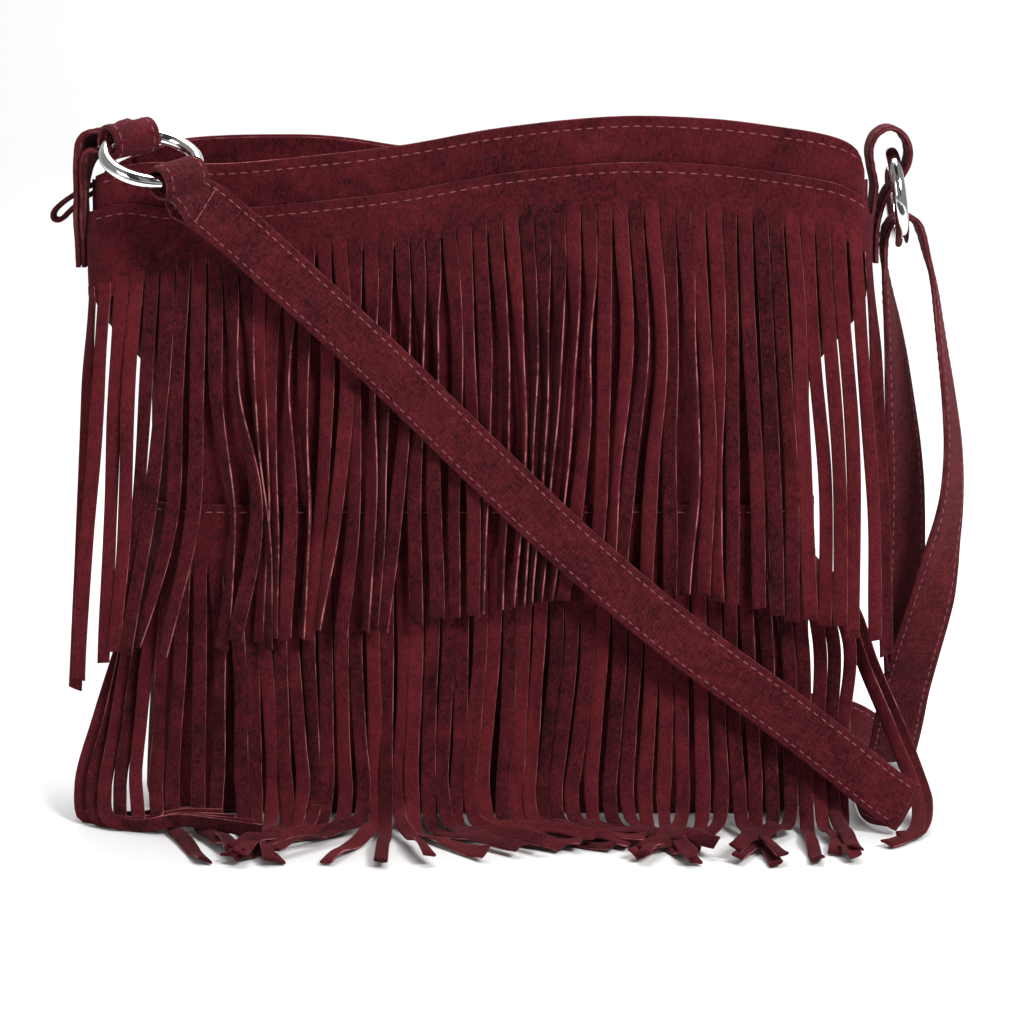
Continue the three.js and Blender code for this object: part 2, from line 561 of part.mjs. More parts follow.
const BEHIND = [
  [184, 66, 9, 0.8, 0.1, 0.6], [170, 90, 13, 0.3, 0.1, 0.95], [142, 103, 13, 0, 0, 1],
  [92, 107, 13, 0, 0, 1], [46, 105, 13, 0, 0, 1], [28, 96, 13, 0, 0, 1],
  [28, 84, 13, 0, 0, 1], [46, 75, 13, 0, 0, 1], [92, 72, 13, 0, 0, 1],
  [134, 70, 13, 0, 0, 1], [155, 62, 12.8, 0, 0, 1], [166, 44, 13, 0, 0, 1],
  [168, 20, 13, 0, 0, 1], [168, -10, 13, 0, 0, 1], [168, -38, 13, 0, 0, 1],
  [169, -54, 13.2, 0.04, 0, 1], [172.6, -65, 13.4, 0.15, 0.02, 0.98], [178, -70.6, 13.8, 0.36, 0.08, 0.92],
];
const FOLD = { at: [183.2, -74.4, 13], across: [0.478, 0.12, 0.87], radius: 2.3 };
const FRONT_RUN = [
  [171.4, -75.4, 21.4, 0.55, 0.06, 0.83], [152, -70.5, 36.5, 0.63, 0.03, 0.78], [132, -67, 51.5, 0.62, 0, 0.78],
  [88, -63, 83.5, 0.62, 0, 0.78], [45, -58, 119, 0.64, 0, 0.77], [1, -49, 159.5, 0.67, 0, 0.74],
  [-42.5, -43.5, 201.5, 0.69, 0, 0.72], [-86, -41.5, 241.8, 0.7, 0, 0.71], [-103.5, -43.5, 258, 0.71, 0.08, 0.7],
];
const STRAP_ANGLE = -42;
const STRAP_LOOP = 7.3;        // radius of the strap round the wire
const LEG_GAP = 0.5;           // between the strap's doubled legs
const RING_BOW = 1.8;          // half of what the wire curves away over the strap's width

function strap() {
  const middle = ringPoint(LEFT_RING, STRAP_ANGLE);
  const wire = middle.lerp(vec(...LEFT_RING.at), RING_BOW / RING);
  const axis = ringTangent(LEFT_RING, STRAP_ANGLE);
  const down = vec(0.712, -0.043, -0.7);
  const toLegs = down.sub(axis.clone().multiplyScalar(down.dot(axis))).normalize();
  const loop = loopRound(wire, axis, toLegs, STRAP_LOOP, 38, 10);
  const legs = wire.clone().add(toLegs.clone().multiplyScalar(10.5));
  const [fx, fy, fz] = FOLD.at;
  const across = vec(...FOLD.across).normalize();
  const side = vec(across.z, 0, -across.x).normalize();
  const fold = [180, 135, 90, 45, 0].map((degrees) => {
    const spot = vec(0, -Math.cos(rad(degrees)), 0).add(side.clone().multiplyScalar(Math.sin(rad(degrees))));
    return { at: vec(fx, fy, fz).add(spot.multiplyScalar(FOLD.radius)), across: across.clone() };
  });
  const a = axis.toArray();
  const meet = [legs.x, legs.y, legs.z, ...a];
  const lead = [-116, -46.5, 268.5, 0.73, 0.3, 0.6];
  const front = stations([
    [fold[4].at.x, fold[4].at.y, fold[4].at.z, ...across.toArray()], ...FRONT_RUN, lead, meet,
  ], 30).slice(1);
  const hidden = stations([...RETURN_AND_ARCH, ...BEHIND,
    [fold[0].at.x, fold[0].at.y, fold[0].at.z, ...across.toArray()]], 84).slice(0, -1);
  const spine = front.slice(-5);
  const main = front.slice(0, -5);
  const turned = doubled(spine, () => (STRAP + LEG_GAP) / 2, loop);
  return band([...hidden, ...fold, ...main, ...turned], STRAP_WIDTH, STRAP);
}

// Frames down one strip: centre, width and outward direction at each step
function upperStrip(i, steps) {
  const [a1, a2, a3, t1, t2, t3, length, extra] = UPPER[i];
  const s = (i + 0.5 - STRIPS / 2) * PITCH;
  const cut = cutHeight(s);
  const start = skin(s, cut, -UPPER_LIFT[0]);
  const lift = UPPER_LIFT.map((value, k) => (k ? value + extra * k / 3 : value));
  const top = plan(cut).d;
  return Array.from({ length: steps + 1 }, (_, k) => {
    const t = k / steps;
    const z = cut - length * t;
    const out = along(lift, t) - UPPER_LIFT[0];
    const belly = (plan(z).d - top) * start.facing;
    const at = vec(start.at.x + along([0, a1, a2, a3], t) + start.out.x * out * 0.8,
      start.at.y - belly + Math.min(start.out.y, -0.4) * out, z);
    return { at, out: start.out, turn: along([0, t1, t2, t3], t) * smooth(t * 4) };
  });
}

const bandTop = (s) => through(FRONT_RIM, s) - UPPER_BELOW_RIM;

// Height where the cuts of the upper fringe begin, lower at the left end
function cutHeight(s) {
  const top = bandTop(s);
  const deeper = CUT_DEEPER * smooth((-s - 120) / 45);
  return top - UPPER_BAND - deeper;
}

function lowerStrip(i, steps) {
  const s = (i + 0.5 - STRIPS / 2) * PITCH;
  const start = skin(s, LOWER_CUT, -FRINGE_GAP - FRINGE / 2);
  const [a1, a2, reach, heading, t1, t2, layer] = LOWER[i];
  const over = STRIPS - i;
  const head = vec(Math.sin(rad(heading)), -Math.cos(rad(heading)), 0);
  const { x, y } = start.at;
  const slack = BASE_DEPTH + y;
  const landing = vec(x + a2, y - slack - reach, 1 + 1.9 * layer);
  const [high, middle, low] = LOWER_KNOTS;
  const path = [start.at,
    vec(x + a1, y - reach * 0.14, high),
    vec(lerp(x + a1, x + a2, 0.6), y - slack * 0.4 - reach * 0.42, middle),
    vec(x + a2, y - slack * 0.8 - reach * 0.76, low),
    landing.clone().add(head.clone().multiplyScalar(4)),
    landing.clone().add(head.clone().multiplyScalar(30)),
    landing.clone().add(head.clone().multiplyScalar(56))];
  const shifted = OVER_PATH.map(([px, py, pz]) => vec(px - 4 * (over - 1), py - 5 * (over - 1), pz));
  shifted[0] = start.at;
  const curve = new THREE.CatmullRomCurve3(over <= OVER_STRAP ? shifted : path, false, 'centripetal');
  const end = Math.min(1, LOWER_LENGTH / curve.getLength());
  return Array.from({ length: steps + 1 }, (_, k) => {
    const t = k / steps;
    const at = curve.getPointAt(t * end);
    at.z = Math.max(at.z, 1);
    const up = smooth((38 - at.z) / 30);
    const out = start.out.clone().multiplyScalar(1 - up).add(vec(0, -0.25 * (1 - up), up));
    return { at, out, turn: along([0, t1, t2, 0], t) * (1 - up) };
  });
}

// Panel of suede cut into strips below a solid band, as one body
function fringe(topOf, cutOf, strip, steps) {
  const shell = new Shell();
  const columns = [];
  for (let i = 0; i < STRIPS; i += 1) {
    const left = (i - STRIPS / 2) * PITCH;
    columns.push(left + STRIP_GAP / 2, left + PITCH - STRIP_GAP / 2);
  }
  const level = (share, depth) => columns.map((s) => {
    const v = lerp(topOf(s), cutOf(s), share);
    return skin(s, v, depth).at;
  });
  const near = FRINGE_GAP;
  const far = near + FRINGE;
  const front = shell.grid([level(1, -far), level(0.5, -far), level(0, -far)]);
  const back = shell.grid([level(1, -near), level(0.5, -near), level(0, -near)]);
  shell.skinOver(front);
  shell.skinOver(back, true);
  const end = columns.length - 1;
  for (let j = 0; j < end; j += 1) {
    shell.quad(front[2][j], front[2][j + 1], back[2][j + 1], back[2][j]);
    if (j % 2) shell.quad(back[0][j], back[0][j + 1], front[0][j + 1], front[0][j]);
  }
  for (let r = 0; r < 2; r += 1) {
    shell.quad(front[r][0], front[r + 1][0], back[r + 1][0], back[r][0]);
    shell.quad(back[r][end], back[r + 1][end], front[r + 1][end], front[r][end]);
  }
  for (let i = 0; i < STRIPS; i += 1) {
    let ring = [front[0][2 * i], front[0][2 * i + 1], back[0][2 * i + 1], back[0][2 * i]];
    const frames = strip(i, steps);
    for (let k = 1; k <= steps; k += 1) {
      const t = frames[Math.min(steps, k + 1)].at.clone().sub(frames[k - 1].at).normalize();
      const out = frames[k].out.clone().addScaledVector(t, -frames[k].out.dot(t)).normalize();
      out.applyAxisAngle(t, rad(frames[k].turn));
      const w = t.clone().cross(out).multiplyScalar(-(PITCH - STRIP_GAP) / 2);
      out.multiplyScalar(FRINGE / 2);
      const at = frames[k].at;
      const next = [
        at.clone().sub(w).add(out), at.clone().add(w).add(out),
        at.clone().add(w).sub(out), at.clone().sub(w).sub(out),
      ].map((p) => shell.add(p));
      for (let c = 0; c < 4; c += 1) {
        const d = (c + 1) % 4;
        shell.quad(ring[d], ring[c], next[c], next[d]);
      }
      ring = next;
    }
    shell.quad(ring[3], ring[2], ring[1], ring[0]);
  }
  return shell.build();
}

const UPPER_STEPS = 8;
const LOWER_STEPS = 11;

const suede = { color: 0x5a1f2a, roughness: 0.95, metalness: 0 };
const cloth = { color: 0x3a1a20, roughness: 0.9, metalness: 0 };
const chrome = { color: 0xd8d8d8, roughness: 0.12, metalness: 1 };
const dark = { color: 0x4a2028, roughness: 0.85, metalness: 0 };

const group = new THREE.Group();
function part(name, geometry, finish) {
  const mesh = new THREE.Mesh(geometry, new THREE.MeshStandardMaterial(finish));
  mesh.name = name;
  group.add(mesh);
}

part('front_panel', panel(FRONT_RIM, false), suede);
part('back_panel', panel(BACK_RIM, true), suede);
part('gusset', gusset(), suede);
part('upper_fringe', fringe(bandTop, cutHeight, upperStrip, UPPER_STEPS), suede);
part('lower_fringe', fringe(() => LOWER_TOP, () => LOWER_CUT, lowerStrip, LOWER_STEPS), suede);
part('lining', lining(), cloth);
part('zip_facing_front', facing(FRONT_RIM, -1), suede);
part('zip_facing_back', facing(BACK_RIM, 1), suede);
part('zip_tape_front', tape(-1), dark);
part('zip_tape_back', tape(1), dark);
part('zip_slider', slider(), chrome);
part('zip_puller', puller(), chrome);
part('zip_stop_right', stop(ZIP_RIGHT - 3, ZIP_RIGHT - 0.6), chrome);
part('zip_stop_left', stop(ZIP_LEFT + 1, ZIP_LEFT + 4), chrome);
part('zip_end_tab', zipTab(), suede);
part('left_ring', ringMesh(LEFT_RING), chrome);
part('right_ring', ringMesh(RIGHT_RING), chrome);
part('left_ring_tab', leftTab(), suede);
part('right_ring_tab', rightTab(), suede);
part('shoulder_strap', strap(), suede);

export default group;
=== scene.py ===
"""Fringed suede shoulder bag: panels, gusset, two tiers of cut fringe, zip, rings, tabs and strap.

Shapes are worked out in millimetres in the frame of the solids: X along the bag, -Y to the fringed
front, +Z up, origin at the centre of the base.
"""

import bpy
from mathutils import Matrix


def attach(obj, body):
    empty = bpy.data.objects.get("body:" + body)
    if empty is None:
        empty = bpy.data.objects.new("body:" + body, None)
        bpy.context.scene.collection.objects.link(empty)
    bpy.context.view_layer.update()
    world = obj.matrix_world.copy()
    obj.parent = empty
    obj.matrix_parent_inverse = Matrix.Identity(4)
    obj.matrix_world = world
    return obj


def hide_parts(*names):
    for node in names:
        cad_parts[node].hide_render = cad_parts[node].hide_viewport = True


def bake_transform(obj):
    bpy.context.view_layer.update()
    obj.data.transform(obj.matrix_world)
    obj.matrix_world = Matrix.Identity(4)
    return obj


bl_info = {
    "name": "Fringed Suede Bag",
    "version": (1, 0, 0),
    "blender": (4, 5, 0),
    "location": "View3D > Sidebar > Suede Bag",
    "description": "Builds a suede shoulder bag with cut fringe, rings and a looped strap",
    "category": "Add Mesh",
}

import bpy
import numpy as np
from bpy.props import FloatProperty, FloatVectorProperty, IntProperty, PointerProperty
from mathutils import Vector

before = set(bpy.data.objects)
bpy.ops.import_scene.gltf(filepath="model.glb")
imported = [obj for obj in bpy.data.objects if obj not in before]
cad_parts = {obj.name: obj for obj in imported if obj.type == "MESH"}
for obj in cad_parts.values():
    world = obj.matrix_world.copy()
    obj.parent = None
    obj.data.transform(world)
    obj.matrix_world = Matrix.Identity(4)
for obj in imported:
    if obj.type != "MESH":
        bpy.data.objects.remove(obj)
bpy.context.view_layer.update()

MM = 0.001

# Body sizes
WAIST = 146.0
SHOULDER = 170.0
SHOULDER_FOOT = 188.0
SHOULDER_RISE = 42.0
BASE = 150.0
BASE_DEPTH = 44.0
MOUTH_DEPTH = 20.0
CORNER = 26.0
CORNER_SHARE = 0.88
RIM_CORNER = 0.5
BOTTOM_ROUND = 9.0
WAIST_AT = 90.0
NARROWS_FROM = 60.0
NARROWS_OVER = 240.0
SUEDE = 1.8
SEAM = np.pi / 3
SEAM_GAP = 1.2
PANEL_FOOT = 2.8
RIM_STITCHES = 4.6
GUSSET_TOP = 268.0
GUSSET_FRONT = 12.0
GUSSET_FRONT_FROM = 240.0
GUSSET_FOOT = (3.5, 6, 9, 14, 20)

FRONT_RIM = [(-170, 281), (-150, 286.5), (-112, 286.5), (-77, 289.5), (-34, 294.5), (9, 302),
             (60, 307), (100, 306), (130, 302.5), (155, 298), (166, 292), (170, 284)]
BACK_RIM = [(-170, 281), (-150, 290), (-130, 295.5), (-81, 297), (-59, 295.5), (-36, 292),
            (20, 287), (80, 286), (140, 288), (166, 288), (170, 282)]

# Zip
ZIP_Z = 276.0
ZIP_LEFT = -158.0
ZIP_RIGHT = 159.0
TAPE = 0.8
TAPE_BACK = 14.5
TOOTH_PITCH = 3.0
TOOTH = {"width": 1.2, "height": 1.5, "root": 3.4, "tip": 1.1, "head": 1.5}
FACING = 1.1
FACING_HALF = 154.0
FACING_LIFT = 0.6
FACING_EDGE = 9.6

# Fringe
STRIPS = 51
PITCH = 6.8
STRIP_GAP = 0.6
HALF_STRIP = 3.1
FRINGE = 1.4
FRINGE_GAP = 1.2
UPPER_BELOW_RIM = 20.0
UPPER_LIFT = (1.9, 5.0, 8.0, 11.0)
UPPER_BAND = 21.0
UPPER_STITCHES = 4.2
LEFT_RISE = 4.5
LEFT_DROP = 12.0
SIDE_SHARE = 0.8
FRONT_SHARE = 0.4
LOWER_TOP = 131.0
LOWER_RISE = 8.0
LOWER_CUT = 111.0
LOWER_LENGTH = 172.0
LOWER_STITCHES = 3.2
LOOSE_ABOVE = 6.0
THIN_END = 0.25

# How strips differ: ranges in mm, degrees or waves along a strip
TWIST = 7.0
SHIVER = 3.0
WAVES = ((9, 0.5), (21, 0.22))
STAND = (-0.5, 1.3)
DRIFT = 1.3
ROLL = (10, 38)
ROLL_WAVES = (9, 16)
HUMP = (0.0, 2.6)
HUMP_WAVES = (14, 26)
WIDER = (-0.05, 0.04)
WIDTH_WAVE = 0.03
CUP = 1.6
SLANT = 1.6

# Rings, strap and tabs
RING = 20.0
WIRE = 3.0
RING_BOW = 1.8
RING_SIDES = 32
STRAP_WIDTH = 23.0
STRAP = 2.8
STRAP_MARGIN = 1.9
TAB = 2.2
LEFT_RING = {"at": (-141.5, -35.0, 289.5), "lean": 25.0, "roll": 11.0}
RIGHT_RING = {"at": (183.5, 0.0, 270.0), "lean": 0.0, "roll": 82.9}
TAB_ANGLE = 132.0
TAB_LOOP = {"radius": 7.0, "start": 44, "steps": 16}
TAB_LEG = 9.5
TAB_APART = 1.3
TAB_OPENS = 3.1
TAB_SOFT = 2.6
STRAP_ANGLE = -42.0
STRAP_LEAVES = (0.712, -0.043, -0.7)
STRAP_LOOP = {"radius": 6.5, "start": 36, "steps": 12}
STRAP_LEG = 10.0
STRAP_STITCH = {"pitch": 4.2, "length": 2.7}
CROSS_PITCH = 3.2

# Upper strips, left to right: sideways sway at 1/3, 2/3 and the end, turn at the same places,
# length, and extra lift
UPPER = np.array([
    [-1, -2, -3, -50, -45, -40, 172, 0], [-3, -5, -7, -14, -20, -10, 166, 2], [-3, -5, -8, 5, 12, 25, 162, -1],
    [-3, -6, -10, -8, 12, 20, 160, 1], [-3, -7, -13, 10, 15, 20, 162, -1], [-3, -8, -18, 10, 15, 15, 166, 2],
    [-2, -6, -20, 5, 10, 50, 166, 0], [-1, -3, -16, 5, 8, 60, 170, 1], [1, 9, 2, 10, 70, 12, 168, -1],
    [4, 11, 3, 65, 20, 0, 164, 2], [3, 8, 9, 72, 60, 25, 168, 0], [-1, 1, -1, 25, 60, 35, 166, -2],
    [-3, -2, -2, 15, 45, 45, 164, 0], [-2, -1, -3, 80, 5, 15, 166, 1], [-2, 2, -2, 35, 75, 60, 166, -1],
    [1, -1, -7, 10, 20, 10, 168, 0], [4, -1, -8, 5, 15, 75, 164, 1], [0, -1, -6, 15, 12, 10, 168, 0],
    [1, 0, -2, 68, 40, 72, 166, 1], [-1, -2, -6, 40, 50, 20, 166, -1], [2, -2, -8, 60, 8, 40, 168, 1],
    [2, -1, 0, 70, 8, 20, 166, -1], [2, 0, 1, 75, 5, 5, 164, 1], [4, 3, 2, 30, 25, 20, 166, 0],
    [2, 4, 4, 25, 8, 5, 166, 1], [2, 3, 2, 20, 60, 72, 166, 0], [4, 5, 3, 50, 60, 62, 166, 0],
    [4, 5, 1, 50, 72, 70, 166, 0], [3, 2, -2, 50, 72, 70, 166, 0], [2, 0, -5, 52, 70, 66, 166, 0],
    [1, -2, -8, 54, 68, 64, 166, 0], [0, -4, -11, 60, 64, 60, 166, 0], [0, -3, -12, 74, 15, 15, 166, 1],
    [1, -2, -7, 10, 25, 10, 168, 0], [3, -2, -5, 20, 45, 25, 166, -1], [3, -3, -8, 45, 15, 12, 168, 1],
    [4, 0, -3, 35, 12, 12, 168, -1], [3, 1, 0, 25, 15, 12, 168, -2], [3, 6, 1, 45, 65, 50, 164, 2],
    [2, 4, 3, 10, 12, 12, 164, 0], [2, 2, 2, 20, 40, 30, 166, 0], [1, 1, 1, 5, 5, 5, 168, 0],
    [2, 5, 6, 0, 0, 4, 168, 0], [3, 6, 7, 5, 5, 5, 170, 1], [3, 7, 7, 8, 10, 8, 172, -1],
    [3, 7, 8, 5, 10, 12, 170, 1], [3, 7, 8, 8, 10, 10, 172, -1], [3, 7, 8, 5, 8, 8, 170, 1],
    [3, 6, 7, 8, 10, 12, 174, -1], [3, 6, 6, 8, 10, 12, 172, 1], [2, 4, 4, 40, 45, 50, 172, -1],
], float)

# Lower strips, left to right: sideways sway at 1/3 and at landing, forward reach, heading on the
# floor, and turn at 1/3 and near the floor
LOWER = np.array([
    [-11, -28, 14, 88, 12, 5], [-10, -22, 20, 82, -20, 10], [-8, -17, 24, 84, 15, -10],
    [-5, -12, 26, 76, -12, 20], [-4, -8, 28, 70, 12, 5], [-3, -5, 29, 60, -15, 10], [-2, -4, 30, 20, 5, 5],
    [0, 0, 30, 25, 8, 5], [2, 1, 31, 15, 35, 5], [3, 6, 31, 20, 20, 10], [2, 5, 30, 10, 8, 5],
    [1, 5, 31, -10, 5, 8], [1, 5, 32, -20, 8, 20], [0, 4, 32, -30, 15, 25], [0, 3, 31, -35, 20, 30],
    [0, 1, 32, -45, 5, 8], [1, 3, 31, -50, 10, 10], [0, 4, 32, -40, 20, 15], [0, 3, 31, -20, 8, 15],
    [0, 0, 32, 0, 25, 15], [0, -1, 31, 15, 8, 5], [-1, -2, 32, 35, 10, 10], [0, -2, 31, 45, 5, 5],
    [0, -2, 32, 50, 5, 5], [-1, -4, 31, 55, 10, 8], [0, -4, 32, 58, 5, 5], [-1, -5, 31, 60, 8, 8],
    [0, -4, 32, 58, 5, 5], [-1, -5, 31, 60, 8, 5], [-1, -6, 32, 62, 25, 15], [-1, -7, 31, 62, 8, 8],
    [-1, -8, 32, 60, 5, 8], [-1, -8, 31, 58, 8, 10], [-1, -6, 32, 55, 10, 10], [0, -5, 31, 50, 8, 8],
    [0, -4, 31, 40, 15, 10], [0, -3, 32, 20, 5, 5], [0, -2, 31, 10, 5, 5], [0, 0, 30, -20, 8, 10],
    [1, 2, 30, -35, 10, 10], [1, 3, 31, -40, 15, 15], [2, 4, 30, 15, 25, 20], [2, 4, 31, 5, 30, 20],
    [3, 5, 30, -20, 35, 20], [5, 6, 29, -30, 20, 25], [6, 6, 28, 0, 10, 20], [8, 7, 26, 10, 10, 15],
    [11, 9, 24, 5, 8, 10], [16, 11, 22, -10, 8, 10], [5, 7, 20, -15, 30, 20], [6, 8, 18, 10, 30, 20],
], float)

# Way down of a lower strip: height, share of the reach, of the room before the base, and of the way
# from the first sway to the second. Then its run along the floor, where strips lie in layers.
LOWER_WAY = [(76, 0.14, 0.0, 0.0), (42, 0.42, 0.4, 0.6), (15, 0.76, 0.8, 1.0)]
FLOOR_RUN = (4, 30, 56)
FLOOR_LIFT = 1.0
FLOOR_LAYER = 1.9
LAYERS = 3
LIES_BELOW = 38.0

# Strips at each end that face the viewer, the left ones of which lie on edge, and the last strips
# at the right, which go out over the strap
ON_EDGE = 6
EDGE_LIFT = 3.4
EDGE_PILE = 4.6
OVER_STRAP = 2
OVER_STEP = (4, 5, 0)
OVER_PATH = np.array([[148.5, -6, 111], [166, -9, 88], [175, -14, 64], [185, -25, 41], [193, -41, 21],
                      [195.5, -58, 9], [192, -76, 3], [180, -93, 1.4], [166, -100, 1.2]], float)

# Strap stations: place and the direction of its width
RETURN_AND_ARCH = [
    (192.5, 8, 56, 0.85, 0.5, 0), (191.2, 8, 80, 0.84, 0.54, 0), (191.6, 6, 107, 0.82, 0.57, 0),
    (191.1, 5, 135, 0.8, 0.6, 0), (189.8, 4, 157, 0.72, 0.69, 0), (187.2, 3, 180, 0.62, 0.78, 0),
    (184.2, 2, 207, 0.44, 0.9, 0), (180.4, 1, 231, 0.2, 0.98, 0), (178.8, 0, 244, 0.04, 1, 0),
    (179.2, 0, 254.4, 0, 1, 0), (182, 0, 260.2, 0, 1, 0), (187, 0, 262.2, 0, 1, 0), (192, -0.5, 260.2, 0, 1, 0),
    (195, -1.5, 254.6, 0, 1, 0),
    (197.2, -3, 246, 0.04, 1, 0), (200.4, -4, 234, 0.12, 0.99, 0), (204, -8, 208, 0.22, 0.97, 0),
    (207.8, -10, 181, 0.33, 0.94, 0), (209.8, -12, 159, 0.43, 0.9, 0), (209.3, -12, 136, 0.56, 0.83, 0),
    (206, -10, 114, 0.76, 0.65, 0), (202.1, -6, 90, 0.95, 0.3, 0), (197.7, 0, 70, 0.98, 0.15, 0),
    (193, 10, 46, 1, 0, 0), (190.5, 24, 20, 1, 0, 0), (188.5, 42, 5, 1, 0, 0.02),
]
BEHIND = [
    (184, 66, 9, 0.8, 0.1, 0.6), (170, 90, 13, 0.3, 0.1, 0.95), (142, 103, 13, 0, 0, 1),
    (92, 107, 13, 0, 0, 1), (46, 105, 13, 0, 0, 1), (28, 96, 13, 0, 0, 1),
    (28, 84, 13, 0, 0, 1), (46, 75, 13, 0, 0, 1), (92, 72, 13, 0, 0, 1),
    (134, 70, 13, 0, 0, 1), (155, 62, 12.8, 0, 0, 1), (166, 44, 13, 0, 0, 1),
    (168, 20, 13, 0, 0, 1), (168, -10, 13, 0, 0, 1), (168, -38, 13, 0, 0, 1),
    (169, -54, 13.2, 0.04, 0, 1), (172.6, -65, 13.4, 0.15, 0.02, 0.98), (178, -70.6, 13.8, 0.36, 0.08, 0.92),
]
FOLD_AT = (183.2, -74.4, 13.0)
FOLD_ACROSS = (0.478, 0.12, 0.87)
FOLD_RADIUS = 2.3
BACK_CROSS = 4
NEAR_CROSS = -46
FRONT_RUN = [
    (171.4, -75.4, 21.4, 0.55, 0.06, 0.83), (152, -70.5, 36.5, 0.63, 0.03, 0.78),
    (132, -67, 51.5, 0.62, 0, 0.78), (88, -63, 83.5, 0.62, 0, 0.78), (45, -58, 119, 0.64, 0, 0.77),
    (1, -49, 159.5, 0.67, 0, 0.74), (-42.5, -43.5, 201.5, 0.69, 0, 0.72), (-86, -41.5, 241.8, 0.7, 0, 0.71),
    (-103.5, -43.5, 258, 0.71, 0.08, 0.7), (-116, -46.5, 268.5, 0.73, 0.3, 0.6),
]
SEWN_BACK = 5

# Left tab: place and the direction of its width. Right tab and zip tail: x and z.
LEFT_TAB = [
    (-175.4, -3, 242, 0, 1, 0), (-175.4, -5, 254, 0, 1, 0), (-175.4, -9.6, 265, 0, 1, 0),
    (-174.6, -11.5, 276, 0, 1, 0), (-173, -12.5, 287, 0.15, 0.98, 0), (-168.4, -13, 295.5, 0.45, 0.88, 0.1),
]
RIGHT_TAB = [
    (171.6, 242), (171.8, 256), (173, 266), (173.8, 276), (172.2, 284), (171.4, 292), (174, 298.2),
    (179.5, 301.2), (185, 299), (188.4, 293), (188.2, 286), (184.8, 279.5), (179.6, 273.5), (176.5, 266),
    (174.6, 256), (174.4, 242),
]
ZIP_TAIL = [
    (-156, 277.6), (-163, 277.4), (-170, 276), (-176, 273.6), (-181, 270.5), (-186.2, 266.8), (-189.4, 263.2),
    (-189.3, 260.4), (-186.6, 260), (-182.4, 263.6), (-178, 267.6), (-173.6, 270.8), (-169, 272.8), (-162, 274),
    (-156, 274.4),
]
ZIP_TAIL_Y = 6.6
ZIP_TAIL_WIDTH = 6.2
ZIP_TAIL_THICK = 2.3

# Creases of the shell: place along the skin and height, slope in degrees, half width, half length,
# and depth inwards
CREASES = [
    (-96, 271, 20, 8, 34, 2.2), (-60, 284, 12, 6, 40, -1.1), (-128, 262, -30, 9, 20, 1.6),
    (-20, 280, 8, 9, 60, 1.0), (40, 292, -6, 5, 46, -0.8), (92, 286, -20, 7, 40, 1.1),
    (128, 276, 50, 6, 22, 1.0), (140, 290, -30, 4, 18, -0.8), (70, 272, 4, 7, 60, 0.9),
    (-40, 190, 74, 10, 60, 1.0), (60, 150, -80, 12, 70, 1.2), (110, 90, 68, 9, 50, 1.2),
    (-90, 80, -66, 10, 56, 1.3), (0, 60, 8, 14, 90, 1.4), (20, 24, -4, 7, 80, -1.2),
]
CREASE_BOW = 0.0016
RIPPLE = 0.35

# Studio, in metres: floor profile, camera, lights (name, place, size, power), and dark cards (left,
# right, near and far edge, and the heights of those two edges)
FLOOR_HALF = 5.0
FLOOR_Y = (-4.0, 1.2, 1.5, 1.75, 1.93, 2.0, 2.0)
FLOOR_Z = (0.0, 0.0, 0.04, 0.17, 0.4, 0.7, 4.0)
CAMERA_AT = (0.014, -1.545, 0.385)
CAMERA_TILT = 80.6
CAMERA_LENS = 122.7
WORLD_LIGHT = 0.24
LIGHTS = [
    ("key", (1.1, -1.5, 1.5), 0.7, 60), ("fill", (-1.4, -1.4, 0.8), 1.0, 7), ("top", (0.1, 0.5, 1.8), 1.2, 42),
]
LIT_AT = (0, 0, 0.15)
CARDS = [
    ("card_low", -0.9, 0.9, -0.35, -1.3, 0.03, 0.03), ("card_left", -0.85, -0.3, -1.1, -1.1, 0.2, 1.7),
    ("card_right", 0.1, 0.6, -1.2, -1.2, 0.45, 2.0), ("card_above", -0.5, 0.5, -0.2, -0.9, 1.5, 1.5),
]


def unit(a):
    """Vectors divided by their length."""
    return a / np.maximum(np.linalg.norm(a, axis=-1, keepdims=True), 1e-9)


def smooth(t):
    """3t^2 - 2t^3 between 0 and 1, flat outside."""
    c = np.clip(t, 0, 1)
    return c * c * (3 - 2 * c)


def lerp(a, b, t):
    """The point a share t of the way from a to b."""
    return a + (b - a) * t


def through(knots, x):
    """Cubic Hermite curve through (x, y) knots, whose slope at a knot joins its two neighbours."""
    k = np.asarray(knots, float)
    kx, ky = k[:, 0], k[:, 1]
    before = np.maximum(np.arange(len(k)) - 1, 0)
    after = np.minimum(np.arange(len(k)) + 1, len(k) - 1)
    slope = (ky[after] - ky[before]) / (kx[after] - kx[before])
    at = np.clip(x, kx[0], kx[-1])
    i = np.clip(np.searchsorted(kx, at, side="left") - 1, 0, len(k) - 2)
    h = kx[i + 1] - kx[i]
    t = (at - kx[i]) / h
    return (ky[i] * (2 * t**3 - 3 * t**2 + 1) + slope[i] * h * (t**3 - 2 * t**2 + t)
            + ky[i + 1] * (3 * t**2 - 2 * t**3) + slope[i + 1] * h * (t**3 - t**2))


def even(values, t):
    """Rows of values given at even steps, read at t by the curve of through, one row for each strip."""
    values = np.asarray(values, float)
    count = values.shape[-1]
    rows = [through(np.column_stack([np.linspace(0, 1, count), row]), t) for row in values.reshape(-1, count)]
    return np.stack(rows).reshape(values.shape[:-1] + np.shape(t))


